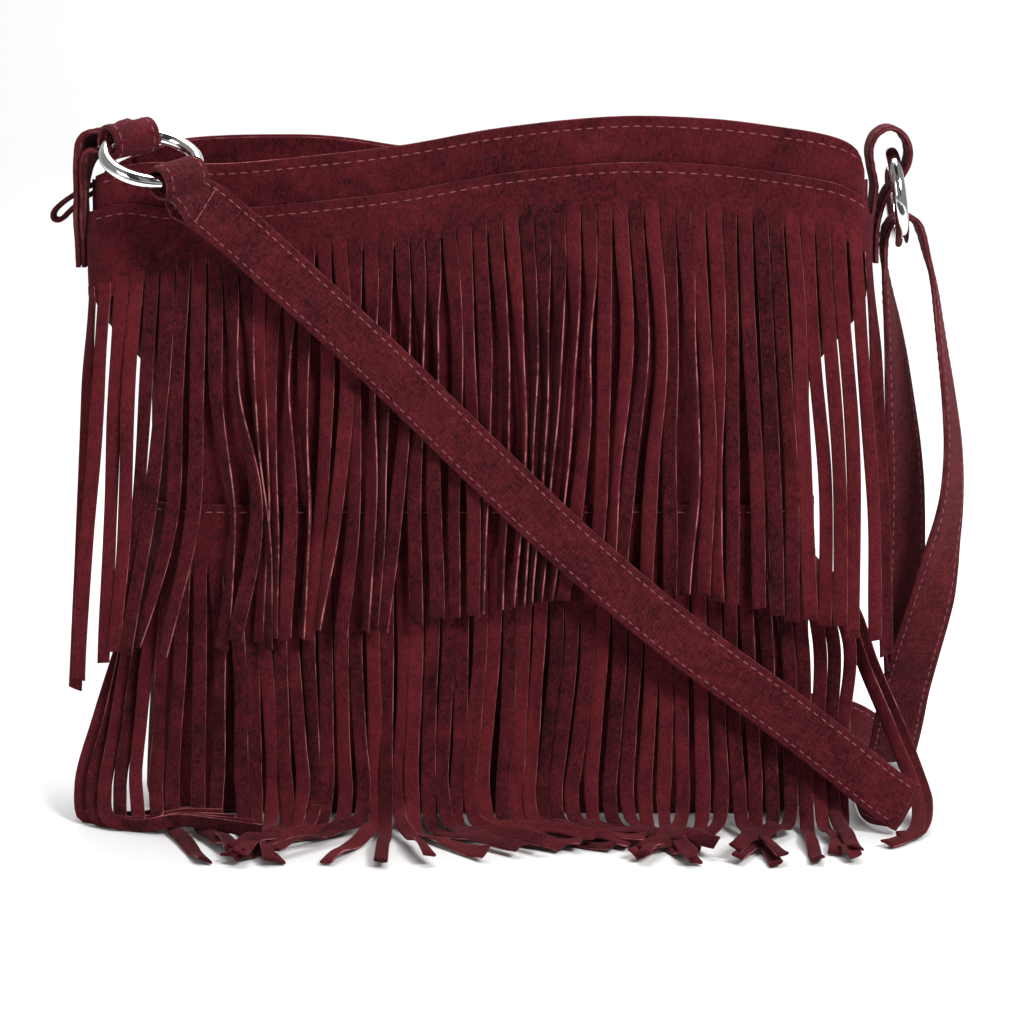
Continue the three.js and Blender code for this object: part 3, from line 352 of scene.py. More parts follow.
def catmull(points, t):
    """Centripetal Catmull-Rom curve: cubic pieces whose knots are spaced by the root of the distance."""
    p = np.asarray(points, float)
    p = np.vstack([2 * p[0] - p[1], p, 2 * p[-1] - p[-2]])
    n = len(p) - 3
    i = np.clip(np.floor(t * n).astype(int), 0, n - 1)
    u = (t * n - i)[:, None]
    p0, p1, p2, p3 = p[i], p[i + 1], p[i + 2], p[i + 3]
    gap = [np.sqrt(np.linalg.norm(b - a, axis=1, keepdims=True)) for a, b in ((p0, p1), (p1, p2), (p2, p3))]
    d1 = np.where(gap[1] < 1e-4, 1.0, gap[1])
    d0 = np.where(gap[0] < 1e-4, d1, gap[0])
    d2 = np.where(gap[2] < 1e-4, d1, gap[2])
    m1 = ((p1 - p0) / d0 - (p2 - p0) / (d0 + d1) + (p2 - p1) / d1) * d1
    m2 = ((p2 - p1) / d1 - (p3 - p1) / (d1 + d2) + (p3 - p2) / d2) * d1
    return (p1 * (2 * u**3 - 3 * u**2 + 1) + m1 * (u**3 - 2 * u**2 + u)
            + p2 * (3 * u**2 - 2 * u**3) + m2 * (u**3 - u**2))


def arc_length(points):
    """Distance run along a line of points, from its start."""
    return np.concatenate([[0], np.cumsum(np.linalg.norm(np.diff(points, axis=0), axis=1))])


def spaced(points, *others, step):
    """The line read again at even distances, with what goes with it."""
    run = arc_length(points)
    at = np.linspace(0, run[-1], max(int(run[-1] / step), 2) + 1)
    pick = [np.column_stack([np.interp(at, run, column) for column in a.T]) for a in (points, *others)]
    return (*pick, at)


def plan(z):
    """Body outline at height z: half width, half depth, corner radius, straight half and half run."""
    low = smooth(z / WAIST_AT)
    high = smooth((z - SHOULDER_FOOT) / SHOULDER_RISE)
    w = lerp(lerp(BASE, WAIST, low), SHOULDER, high)
    d = lerp(BASE_DEPTH, MOUTH_DEPTH, smooth((z - NARROWS_FROM) / NARROWS_OVER))
    r = np.minimum(CORNER, d * CORNER_SHARE) * lerp(1, RIM_CORNER, high)
    flat = w - r
    return w, d, r, flat, flat + r * np.pi / 2 + d - r


def skin(s, v, depth=0.0):
    """Point and outward direction at run s from the front middle, height v and depth under the skin.

    The plan is a rectangle with round corners, and below BOTTOM_ROUND the wall turns under on a
    quarter circle.
    """
    s, v = np.broadcast_arrays(np.asarray(s, float), np.asarray(v, float))
    w, d, r, flat, half = plan(v)
    side = np.where(s < 0, -1.0, 1.0)
    behind = np.abs(s) > half
    run = np.where(behind, 2 * half - np.abs(s), np.abs(s))
    angle = np.clip((run - flat) / r, 0, np.pi / 2)
    straight = np.maximum(run - flat - r * np.pi / 2, 0)
    nx = side * np.sin(angle)
    ny = -np.cos(angle)
    x = side * (np.minimum(run, flat) + r * np.sin(angle))
    y = -(d - r) - r * np.cos(angle) + straight
    low = v < BOTTOM_ROUND
    turn = np.where(low, np.arccos(np.clip((BOTTOM_ROUND - v) / BOTTOM_ROUND, -1, 1)), np.pi / 2)
    inset = BOTTOM_ROUND - (BOTTOM_ROUND - depth) * np.sin(turn)
    z = np.where(low, BOTTOM_ROUND - (BOTTOM_ROUND - depth) * np.cos(turn), v)
    flip = np.where(behind, -1.0, 1.0)
    point = np.stack([x - nx * inset, flip * (y - ny * inset), z], axis=-1)
    return point, np.stack([nx, flip * ny, np.zeros_like(nx)], axis=-1)


def dents(s, v):
    """Depth of the creases: each is a long Gaussian furrow laid across the skin at its own slope."""
    total = np.zeros(np.broadcast(s, v).shape)
    for s0, v0, slope, width, length, depth in CREASES:
        c, q = np.cos(np.radians(slope)), np.sin(np.radians(slope))
        u = (s - s0) * c + (v - v0) * q
        w = -(s - s0) * q + (v - v0) * c + CREASE_BOW * u * u
        total = total + depth * np.exp(-(u / length) ** 2 - (w / width) ** 2)
    ripple = RIPPLE * np.sin(s / 17.0 + v / 31.0) * np.sin(v / 23.0 - s / 44.0)
    return (total + ripple) * smooth(v / 25)


def shell(s, v, depth=0.0, mirrored=False):
    """Skin with its creases; mirrored gives the back of the bag."""
    point, out = skin(s, v, depth)
    point = point - out * dents(s, v)[..., None]
    if mirrored:
        point = point * (-1, -1, 1)
        out = out * (-1, -1, 1)
    return point, out


def grid_quads(rows, columns, wrap_rows=False):
    """Four corners of each face of a grid that is closed across, and along too if wrap_rows is set."""
    i = np.arange(rows if wrap_rows else rows - 1)[:, None]
    j = np.arange(columns)
    here, ahead = i * columns, (i + 1) % rows * columns
    beside = (j + 1) % columns
    return np.stack([here + j, here + beside, ahead + beside, ahead + j], axis=-1).reshape(-1, 4)


def grid_normals(points, outward):
    """Unit normals of a grid, from the cross product of its two directions, on the side of outward."""
    n = unit(np.cross(np.gradient(points, axis=0), np.gradient(points, axis=1)))
    return n * np.where(np.sum(n * outward, axis=-1, keepdims=True) < 0, -1.0, 1.0)


class Form:
    """Points, faces and marks of one mesh. The mark edge is 1 on a raw cut edge, tone differs from
    strip to strip, and uv is the run across and along in metres. Slot 1 is thread."""

    BESIDE_EDGE = 0.45

    def __init__(self):
        self.parts = []
        self.count = 0

    def add(self, points, faces, edge=None, tone=None, uv=None, slot=0):
        """Keeps one part, with its faces counted on from the parts before it."""
        points = points.reshape(-1, 3)
        size = len(points)
        self.parts.append((
            points,
            [face + self.count for face in faces],
            np.zeros(size) if edge is None else np.broadcast_to(edge, size),
            np.full(size, 0.5) if tone is None else np.broadcast_to(tone, size),
            np.zeros((size, 2)) if uv is None else uv.reshape(-1, 2),
            slot,
        ))
        self.count += size

    def band(self, points, normals, thickness, tone=None, groove=1.0):
        """Closed flat band. Points run [strip, along, across]; each section goes over the face at
        P + N t/2, round an edge on a half circle, back under at P - N t/2 and round the other edge."""
        if points.ndim == 3:
            points, normals = points[None], normals[None]
        strips, along, across = points.shape[:3]
        half = np.broadcast_to(thickness, (strips, along, across))[..., None] / 2
        right = unit(points[:, :, -1] - points[:, :, -2])
        left = unit(points[:, :, 0] - points[:, :, 1])
        bend = [(np.cos(a), np.sin(a) * k) for a, k in zip(np.pi * np.array([0.25, 0.5, 0.75]), (1, groove, 1))]
        first = [points[:, :, -1] + half[:, :, -1] * (normals[:, :, -1] * c + right * q) for c, q in bend]
        second = [points[:, :, 0] + half[:, :, 0] * (-normals[:, :, 0] * c + left * q) for c, q in bend]
        loop = np.concatenate([
            points + normals * half, np.stack(first, axis=2),
            (points - normals * half)[:, :, ::-1], np.stack(second, axis=2),
        ], axis=2)
        size = 2 * across + 6
        edge = np.zeros(size)
        edge[[across, across + 2, 2 * across + 3, 2 * across + 5]] = self.BESIDE_EDGE
        edge[[across + 1, 2 * across + 4]] = 1
        u = arc_length(points[0, 0])
        u = np.concatenate([u, [u[-1]] * 3, u[::-1], [0] * 3])
        v = arc_length(points[0, :, across // 2])
        uv = np.stack(np.broadcast_arrays(u[None, None], v[None, :, None]), axis=-1)
        uv = np.broadcast_to(uv, (strips, along, size, 2)) * MM
        wall = grid_quads(along, size)
        k = np.arange(across - 1)
        low = 2 * across + 2 - k
        start = np.stack([k, low, low - 1, k + 1], axis=-1)
        end = start[:, ::-1] + (along - 1) * size
        ends = np.array([[across + 3, across + 2, across + 1, across, across - 1],
                         [0, size - 1, size - 2, size - 3, size - 4]])
        caps = np.concatenate([ends, ends[:, ::-1] + (along - 1) * size])
        shift = (np.arange(strips) * along * size)[:, None, None]
        quads = (np.concatenate([wall, start, end])[None] + shift).reshape(-1, 4)
        fives = (caps[None] + shift).reshape(-1, 5)
        corner = points[0, 0, 0]
        if np.dot(np.cross(points[0, 0, 1] - corner, points[0, 1, 0] - corner), normals[0, 0, 0]) < 0:
            quads, fives = quads[:, ::-1], fives[:, ::-1]
        shade = None
        if tone is not None:
            shade = np.broadcast_to(np.asarray(tone)[:, None, None], (strips, along, size)).ravel()
        marks = np.broadcast_to(edge, (strips, along, size)).ravel()
        self.add(loop, [quads, fives], marks, shade, uv)

    def stitches(self, line, out, pitch=5.0, length=3.3, radius=0.26):
        """Thread laid as a row of ellipsoids, half sunk in, each along the line and flat to the face."""
        at, normal, _ = spaced(line, out, step=0.5)
        count = max(int(arc_length(at)[-1] / pitch), 1)
        pick = np.clip(((np.arange(count) + 0.5) / count * (len(at) - 1)).astype(int), 0, len(at) - 1)
        t = unit(np.gradient(at, axis=0))[pick]
        n = unit(normal[pick])
        w = np.cross(n, t)
        lat = np.linspace(-np.pi / 2, np.pi / 2, 7)
        lon = np.linspace(0, 2 * np.pi, 6, endpoint=False)
        a, b = np.meshgrid(lat[1:-1], lon, indexing="ij")
        waist = np.cos(a) * radius
        body = np.stack([np.sin(a) * length / 2, waist * np.cos(b), waist * np.sin(b)], -1)
        poles = np.array([[-length / 2, 0, 0], [length / 2, 0, 0]])
        local = np.concatenate([body.reshape(-1, 3), poles])
        axes = np.stack([t, w, n], axis=1)
        points = at[pick][:, None] + np.einsum("pk,skx->spx", local, axes)
        rows, columns = a.shape
        quads = grid_quads(rows, columns)
        j = np.arange(columns)
        beside = (j + 1) % columns
        end = (rows - 1) * columns
        first = np.stack([j, beside, np.full(columns, len(local) - 2)], -1)
        last = np.stack([end + beside, end + j, np.full(columns, len(local) - 1)], -1)
        shift = (np.arange(count) * len(local))[:, None, None]
        tris = np.concatenate([first, last])
        self.add(points, [(quads[None] + shift).reshape(-1, 4), (tris[None] + shift).reshape(-1, 3)], slot=1)

    def build(self, name, materials, body="bag", slot="suede", replaces=()):
        """Mesh of all parts, with its marks, run and materials, hung under its body if it has one, with the
        solids it replaces hidden.
        """
        points, groups, edges, tones, runs, places = zip(*self.parts)
        faces = [face for part in groups for group in part for face in group.tolist()]
        mesh = bpy.data.meshes.new(name)
        mesh.from_pydata(np.concatenate(points) * MM, [], faces)
        for key, values in (("edge", edges), ("tone", tones)):
            mark = mesh.attributes.new(key, "FLOAT", "POINT")
            mark.data.foreach_set("value", np.concatenate(values).astype(np.float32))
        corners = np.zeros(len(mesh.loops), np.int32)
        mesh.loops.foreach_get("vertex_index", corners)
        uv = np.concatenate(runs)[corners]
        mesh.uv_layers.new(name="run").data.foreach_set("uv", uv.astype(np.float32).ravel())
        for material in materials:
            mesh.materials.append(material)
        slots = np.concatenate([np.full(sum(map(len, part)), place) for part, place in zip(groups, places)])
        mesh.polygons.foreach_set("material_index", slots.astype(np.int32))
        mesh.polygons.foreach_set("use_smooth", np.ones(len(mesh.polygons), bool))
        mesh.update()
        piece = bpy.data.objects.new(name, mesh)
        bpy.context.collection.objects.link(piece)
        if body:
            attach(piece, body)
        if replaces:
            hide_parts(*replaces)
        return piece


class Socket:
    """A shader value that can be added, multiplied and clipped, so that node maths reads as a formula."""

    def __init__(self, tree, out):
        self.tree = tree
        self.out = out

    def math(self, operation, other=None, clamp=False):
        node = self.tree.nodes.new("ShaderNodeMath")
        node.operation = operation
        node.use_clamp = clamp
        self.tree.links.new(self.out, node.inputs[0])
        if isinstance(other, Socket):
            self.tree.links.new(other.out, node.inputs[1])
        elif other is not None:
            node.inputs[1].default_value = other
        return Socket(self.tree, node.outputs[0])

    def __add__(self, other):
        return self.math("ADD", other)

    def __sub__(self, other):
        return self.math("SUBTRACT", other)

    def __rsub__(self, other):
        return self * -1.0 + other

    def __mul__(self, other):
        return self.math("MULTIPLY", other)

    __radd__ = __add__
    __rmul__ = __mul__

    def clip(self):
        return self.math("ADD", 0.0, clamp=True)

    def step(self, low, high):
        """0 below low, 1 above high, even between."""
        return ((self - low) * (1.0 / (high - low))).clip()


class Finish:
    """One material: a Principled surface and one method that adds any node to it."""

    def __init__(self, name, settings):
        self.material = bpy.data.materials.new(name)
        self.material.use_nodes = True
        self.tree = self.material.node_tree
        self.surface = self.tree.nodes["Principled BSDF"]
        for key, value in settings.items():
            self.surface.inputs[key].default_value = value

    def node(self, kind, output, inputs, **options):
        made = self.tree.nodes.new(kind)
        for key, value in options.items():
            setattr(made, key, value)
        for key, value in inputs.items():
            if isinstance(value, Socket):
                self.tree.links.new(value.out, made.inputs[key])
            else:
                made.inputs[key].default_value = value
        return Socket(self.tree, made.outputs[output])

    def place(self, scale=(1.0, 1.0, 1.0)):
        """Object coordinates in metres, stretched."""
        spot = self.node("ShaderNodeTexCoord", "Object", {})
        return self.node("ShaderNodeMapping", "Vector", {"Vector": spot, "Scale": scale})

    def run(self, scale=(1.0, 1.0, 1.0)):
        """The piece's own run across and along, in metres, stretched."""
        spot = self.node("ShaderNodeUVMap", "UV", {}, uv_map="run")
        return self.node("ShaderNodeMapping", "Vector", {"Vector": spot, "Scale": scale})

    def noise(self, vector, scale, detail=3.0, roughness=0.55, distortion=0.0):
        return self.node("ShaderNodeTexNoise", "Fac", {
            "Vector": vector, "Scale": scale, "Detail": detail, "Roughness": roughness,
            "Distortion": distortion})

    def mark(self, name):
        """A value that Form.build stored on the mesh."""
        return self.node("ShaderNodeAttribute", "Fac", {}, attribute_name=name)

    def blend(self, share, a, b):
        """Colour a where share is 0 and b where it is 1."""
        made = self.tree.nodes.new("ShaderNodeMix")
        made.data_type = "RGBA"
        for index, value in ((0, share), (6, a), (7, b)):
            if isinstance(value, Socket):
                self.tree.links.new(value.out, made.inputs[index])
            else:
                made.inputs[index].default_value = value if index == 0 else (*value[:3], 1)
        return Socket(self.tree, made.outputs[2])

    def bump(self, height, distance, strength=1.0, base=None):
        inputs = {"Height": height, "Distance": distance, "Strength": strength}
        if base is not None:
            inputs["Normal"] = base
        return self.node("ShaderNodeBump", "Normal", inputs)

    def set(self, **sockets):
        for key, value in sockets.items():
            self.tree.links.new(value.out, self.surface.inputs[key.replace("_", " ")])
        return self.material


def suede_finish(name, look, brushed=1.0, woven=0.0, raw=1.0):
    """Napped suede: clouds where the nap lies one way or the other, curly brushed marks, fine fibres
    and pale cut edges that come and go."""
    finish = Finish(name, {
        "Roughness": 0.95, "Sheen Weight": look.sheen, "Sheen Roughness": 0.4,
        "Sheen Tint": (*look.sheen_colour, 1.0), "Specular IOR Level": 0.1,
    })
    spot = finish.place()
    clouds = finish.noise(spot, 34.0, 3.0, 0.6, 0.9)
    patches = finish.noise(spot, 170.0, 4.0, 0.65, 1.2)
    fibres = finish.noise(finish.place((1.0, 1.0, 0.4)), 1300.0, 3.0, 0.7, 0.8)
    pores = finish.noise(spot, 2900.0, 2.0, 0.5)
    swirl = finish.noise(spot, 240.0, 2.0, 0.5, 4.0)
    gate = finish.noise(spot, 120.0, 2.0).step(0.45, 0.6)
    curl = (1 - (swirl - 0.5).math("ABSOLUTE") * 26.0).clip() * gate
    nap = (clouds * 0.42 + patches * (0.36 * brushed) + fibres * 0.85 + pores * 0.4).step(0.8, 1.28)
    nap = (nap * 0.9 + finish.mark("tone") * 0.4 + curl * (0.5 * brushed) - 0.2).clip()
    colour = finish.blend(nap, look.dark, look.light)
    if woven:
        hatch = finish.noise(finish.run((1.0, 0.12, 1.0)), 1500.0, 2.0, 0.5, 0.3)
        cross = finish.noise(finish.run((0.12, 1.0, 1.0)), 1500.0, 2.0, 0.5, 0.3)
        colour = finish.blend((hatch + cross).step(0.95, 1.35) * woven, colour, look.scuff)
    broken = finish.noise(spot, 75.0, 4.0, 0.7).step(0.45, 0.6)
    edge = finish.mark("edge").step(0.55, 0.85) * (broken * 0.8 + 0.1) * raw
    colour = finish.blend(edge, colour, look.cut_edge)
    rough = finish.bump(fibres * 0.6 + pores * 0.4, 0.0009, 0.9)
    full = finish.bump(patches * 0.5 + clouds * 0.3 + curl * 0.2, 0.0018, 0.5, rough)
    return finish.set(Base_Color=colour, Normal=full)


def thread_finish(look):
    """Twisted sewing thread, a little paler than the suede."""
    finish = Finish("sewing_thread", {"Roughness": 0.6, "Sheen Weight": 0.2})
    ply = finish.noise(finish.place(), 2600.0, 2.0)
    colour = finish.blend(ply.step(0.3, 0.7), look.thread, [min(1.0, c * 1.9) for c in look.thread])
    return finish.set(Base_Color=colour, Normal=finish.bump(ply, 0.0002, 0.5))


def cloth_finish(name, colour, scale):
    """Plain weave: two sets of threads at right angles, each a row of soft ridges."""
    finish = Finish(name, {"Roughness": 0.85, "Sheen Weight": 0.25})
    ridges = {"Vector": finish.place(), "Scale": scale, "Distortion": 0.4}
    warp, weft, across = (finish.node("ShaderNodeTexWave", "Fac", ridges, bands_direction=way) for way in "XZY")
    weave = warp * 0.34 + weft * 0.33 + across * 0.33
    shade = finish.noise(finish.place(), 160.0, 3.0)
    dark = [c * 0.55 for c in colour]
    return finish.set(Base_Color=finish.blend((weave * 0.6 + shade * 0.5).clip(), dark, colour),
                      Normal=finish.bump(weave, 0.0003, 0.6))


def polished_finish(name, colour, roughness):
    """Plated metal: bright, with hairline scratches that only blur the gloss."""
    finish = Finish(name, {"Metallic": 1.0, "Base Color": (*colour, 1.0)})
    hair = finish.noise(finish.place((1.0, 1.0, 7.0)), 420.0, 4.0, 0.7, 0.4)
    smear = finish.noise(finish.place(), 60.0, 3.0)
    rough = hair.step(0.45, 0.8) * 0.05 + smear * 0.05 + roughness
    return finish.set(Roughness=rough, Normal=finish.bump(hair, 0.00004, 0.15))


def strip_runs():
    """Run along the skin of the middle of each strip."""
    return (np.arange(STRIPS) + 0.5 - STRIPS / 2) * PITCH


def strip_frames_upper(samples):
    """Centre, outward direction and turn of each upper strip: straight down with its sway, standing
    off the skin by its lift and following the belly of the body below."""
    s = strip_runs()
    cut = cut_height(s)
    start, out = skin(s, cut, -UPPER_LIFT[0])
    t = np.linspace(0, 1, samples)
    z = cut[:, None] - UPPER[:, 6:7] * t
    sway = even(np.column_stack([np.zeros(STRIPS), UPPER[:, :3]]), t)
    extra = UPPER[:, 7:8] * np.linspace(0, 1, len(UPPER_LIFT))
    lift = even(np.array(UPPER_LIFT) + extra, t) - UPPER_LIFT[0]
    turn = even(np.column_stack([np.zeros(STRIPS), UPPER[:, 3:6]]), t) * smooth(t * 4)
    belly = (plan(z)[1] - plan(cut)[1][:, None]) * -out[:, 1:2]
    x = start[:, 0:1] + sway + out[:, 0:1] * lift * SIDE_SHARE
    y = start[:, 1:2] - belly + np.minimum(out[:, 1:2], -FRONT_SHARE) * lift
    return np.stack([x, y, z], axis=-1), np.repeat(out[:, None], samples, axis=1), turn


def band_top(s):
    """Top edge of the upper fringe, under the rim and a little nearer to it at the left end."""
    return through(FRONT_RIM, s) - UPPER_BELOW_RIM + LEFT_RISE * smooth((-s - 135) / 28)


def cut_height(s):
    """Where the cuts of the upper fringe begin, lower at the left end."""
    return through(FRONT_RIM, s) - UPPER_BELOW_RIM - UPPER_BAND - LEFT_DROP * smooth((-s - 120) / 45)


def strip_frames_lower(samples):
    """Centre, outward direction and turn of each lower strip: down the body, out on to the floor in a
    smooth bend, and along it at its own heading. The first few lie there on their edge."""
    s = strip_runs()
    start, out = skin(s, np.full(STRIPS, LOWER_CUT), -FRINGE_GAP - FRINGE / 2)
    centres, turns = [], []
    for i in range(STRIPS):
        sway_high, sway_low, reach, heading, turn_high, turn_low = LOWER[i]
        x, y, _ = start[i]
        head = np.array([np.sin(np.radians(heading)), -np.cos(np.radians(heading)), 0])
        slack = BASE_DEPTH + y
        landing = np.array([x + sway_low, y - slack - reach, FLOOR_LIFT + FLOOR_LAYER * (i % LAYERS)])
        path = [start[i]]
        path += [(x + lerp(sway_high, sway_low, share), y - slack * room - reach * ahead, z)
                 for z, ahead, room, share in LOWER_WAY]
        path += [landing + head * distance for distance in FLOOR_RUN]
        over = STRIPS - i
        if over <= OVER_STRAP:
            path = OVER_PATH - np.array(OVER_STEP) * (over - 1)
            path[0] = start[i]
        fine = catmull(path, np.linspace(0, 1, 400))
        run = arc_length(fine)
        at = np.linspace(0, min(run[-1], LOWER_LENGTH), samples)
        centre = np.column_stack([np.interp(at, run, column) for column in fine.T])
        lowest = EDGE_LIFT + EDGE_PILE * smooth((centre[:, 0] + BASE) / 25) if i < ON_EDGE else FLOOR_LIFT
        centre[:, 2] = np.maximum(centre[:, 2], lowest)
        centres.append(centre)
        turns.append(even([0, turn_high, turn_low, 0], np.linspace(0, 1, samples)))
    centre = np.array(centres)
    up = smooth((LIES_BELOW - centre[..., 2]) / 30) * (np.arange(STRIPS) >= ON_EDGE)[:, None]
    at_end = np.abs(np.arange(STRIPS) - STRIPS // 2) > STRIPS // 2 - ON_EDGE
    front = (smooth(np.linspace(0, 5, samples)) * at_end[:, None])[..., None]
    out = out[:, None] * (1 - front) + np.array([0, -1, 0]) * front
    facing = out * (1 - up[..., None]) + np.stack([np.zeros_like(up), -0.25 - 0.35 * up, up], axis=-1)
    return centre, facing, np.array(turns) * (1 - up)


def turned(out, side, angle):
    """Both directions across a strip, turned about its own line."""
    c, q = np.cos(angle)[..., None], np.sin(angle)[..., None]
    return out * c + side * q, side * c - out * q


def strips_grid(centre, facing, turn, look, seed, columns=7, floor=None):
    """Strips as grids of points: width across each frame turned about its own line, with a little
    cupping, waviness, uneven width and a slanting cut at the tip."""
    rng = np.random.default_rng(seed)
    count, samples = centre.shape[:2]
    t = np.linspace(0, 1, samples)
    phase = rng.uniform(0, 2 * np.pi, (count, 3, 1))
    wave = sum(np.sin(t * pace + phase[:, k]) * size for k, (pace, size) in enumerate(WAVES)) * smooth(t * 3)
    tangent = unit(np.gradient(centre, axis=1))
    out = unit(facing - tangent * np.sum(facing * tangent, axis=-1, keepdims=True))
    side = np.cross(tangent, out)
    twist = rng.uniform(-TWIST, TWIST, (count, 1)) * t + np.sin(t * 13 + phase[:, 2]) * SHIVER
    angle = np.radians(turn + twist * smooth(t * 4))
    out, side = turned(out, side, angle)
    loose = np.ones_like(wave) if floor is None else smooth((centre[..., 2] - floor) / 20)
    stand = rng.uniform(*STAND, (count, 1)) * smooth(t * 2.5)
    drift = rng.uniform(-DRIFT, DRIFT, (count, 1)) * np.sin(t * 6 + phase[:, 2]) * smooth(t * 3)
    centre = centre + out * ((wave * look.strip_wave + stand) * loose)[..., None]
    centre = centre + side * (drift * loose)[..., None]
    if floor is not None:
        rest = (1 - loose) * (np.arange(count) >= ON_EDGE)[:, None] * smooth((t - 0.45) / 0.3)
        roll = rng.uniform(*ROLL, (count, 1))
        roll = roll * np.sin(t * rng.uniform(*ROLL_WAVES, (count, 1)) + phase[:, 1])
        hump = rng.uniform(*HUMP, (count, 1))
        hump = hump * np.sin(t * rng.uniform(*HUMP_WAVES, (count, 1)) + phase[:, 2]) ** 2
        out, side = turned(out, side, np.radians(roll) * rest)
        centre[..., 2] += (HALF_STRIP * np.abs(side[..., 2]) + hump) * rest
    uneven = 1 + rng.uniform(*WIDER, (count, 1)) + WIDTH_WAVE * np.sin(t * 17 + phase[:, 1])
    width = (PITCH - STRIP_GAP - FRINGE) * uneven
    u = np.linspace(-0.5, 0.5, columns)
    slant = rng.uniform(-SLANT, SLANT, (count, 1, 1)) * u * smooth((t - 0.9) / 0.1)[None, :, None]
    cup = (0.25 - u * u) * rng.uniform(-CUP, CUP, (count, 1, 1)) * smooth(t * 3)[None, :, None]
    points = (centre[:, :, None] + side[:, :, None] * (width[..., None] * u)[..., None]
              + out[:, :, None] * cup[..., None] + tangent[:, :, None] * slant[..., None])
    normals = np.repeat(out[:, :, None], columns, axis=2)
    return points, normals, rng.uniform(0, 1, count)


def fringe_piece(name, node, top, cut, strips, look, finishes, stitch_drop, seed, floor=None):
    """One tier: a sewn band that thins towards the cuts, the strips that come out of it, and a row of
    stitches under its raw top edge."""
    form = Form()
    columns, rows, lead = 260, 16, 3
    s = np.linspace(-STRIPS / 2 * PITCH + 1, STRIPS / 2 * PITCH - 1, columns)
    share = np.linspace(0, 1, rows)
    v = lerp(top(s)[:, None] - FRINGE / 2, cut(s)[:, None] - 2, share)
    depth = -FRINGE_GAP - FRINGE / 2
    points, out = shell(np.repeat(s[:, None], rows, axis=1), v, depth)
    thickness = FRINGE * lerp(1, THIN_END, smooth((share - 0.72) / 0.28))
    form.band(points, grid_normals(points, out), np.broadcast_to(thickness, v.shape))
    centre, facing, turn = strips
    above = np.linspace(5, 1.2, lead)
    mid = strip_runs()
    head, _ = shell(np.repeat(mid[:, None], lead, axis=1), cut(mid)[:, None] + above, depth)
    centre = np.concatenate([head, centre], axis=1)
    facing = np.concatenate([np.repeat(facing[:, :1], lead, axis=1), facing], axis=1)
    turn = np.concatenate([np.zeros((STRIPS, lead)), turn], axis=1)
    grid, normals, tone = strips_grid(centre, facing, turn, look, seed, floor=floor)
    form.band(grid, normals, FRINGE, tone=tone)
    line, normal = shell(s[4:-4], top(s[4:-4]) - stitch_drop, -FRINGE_GAP - FRINGE)
    form.stitches(line, normal)
    piece = form.build(name, finishes, replaces=(node,))


def ring_frame(ring):
    """Matrix that leans a flat ring about X and rolls it about Y, and its centre."""
    a, b = np.radians(ring["lean"]), np.radians(ring["roll"])
    lean = np.array([[1, 0, 0], [0, np.cos(a), -np.sin(a)], [0, np.sin(a), np.cos(a)]])
    roll = np.array([[np.cos(b), 0, np.sin(b)], [0, 1, 0], [-np.sin(b), 0, np.cos(b)]])
    return roll @ lean, np.array(ring["at"], float)


def ring_point(ring, degrees):
    """Place on the middle of the wire at an angle round the ring."""
    turn, centre = ring_frame(ring)
    a = np.radians(degrees)
    return turn @ np.array([np.cos(a), np.sin(a), 0]) * RING + centre


def ring_tangent(ring, degrees):
    """Direction of the wire at an angle round the ring."""
    turn, _ = ring_frame(ring)
    a = np.radians(degrees)
    return turn @ np.array([-np.sin(a), np.cos(a), 0])


def ring_form(ring, look):
    """Torus: a circle of radius WIRE carried round a circle of radius RING."""
    turn, centre = ring_frame(ring)
    around, section = look.ring_steps, RING_SIDES
    a = np.linspace(0, 2 * np.pi, around, endpoint=False)[:, None]
    b = np.linspace(0, 2 * np.pi, section, endpoint=False)[None]
    r = RING + WIRE * np.cos(b)
    points = np.stack([r * np.cos(a), r * np.sin(a), WIRE * np.sin(b) + 0 * a], axis=-1) @ turn.T + centre
    form = Form()
    form.add(points, [grid_quads(around, section, wrap_rows=True)[:, ::-1]])
    return form


def loop_round(centre, axis, legs, radius, start, steps):
    """Line of points round a wire, from one leg over the far side to the other leg."""
    up = unit(np.cross(axis, legs))
    angle = np.radians(np.linspace(start, 360 - start, steps + 1))[:, None]
    at = centre + radius * (legs * np.cos(angle) + up * np.sin(angle))
    return at, np.repeat(axis[None], steps + 1, axis=0)


def stations(rows, steps):
    """Places and width directions read along smooth curves through the given stations."""
    rows = np.asarray(rows, float)
    t = np.linspace(0, 1, steps + 1)
    return catmull(rows[:, :3], t), unit(catmull(rows[:, 3:], t))


def doubled(at, across, offset, middle):
    """Both legs of a doubled band, set to either side of one spine, with the loop between them."""
    shift = unit(np.cross(across, np.gradient(at, axis=0))) * np.reshape(offset, (-1, 1))
    return (np.vstack([at + shift, middle[0], (at - shift)[::-1]]),
            np.vstack([across, middle[1], across[::-1]]))


def softened(at, across, reach):
    """The line with its kinks evened out: each point is the Gaussian mean of those within reach."""
    at, across, run = spaced(at, across, step=0.8)
    weight = np.exp(-((run[:, None] - run[None]) / reach) ** 2)
    weight[[0, -1]] = np.eye(len(run))[[0, -1]]
    weight = weight / weight.sum(axis=1, keepdims=True)
    return weight @ at, unit(weight @ across)


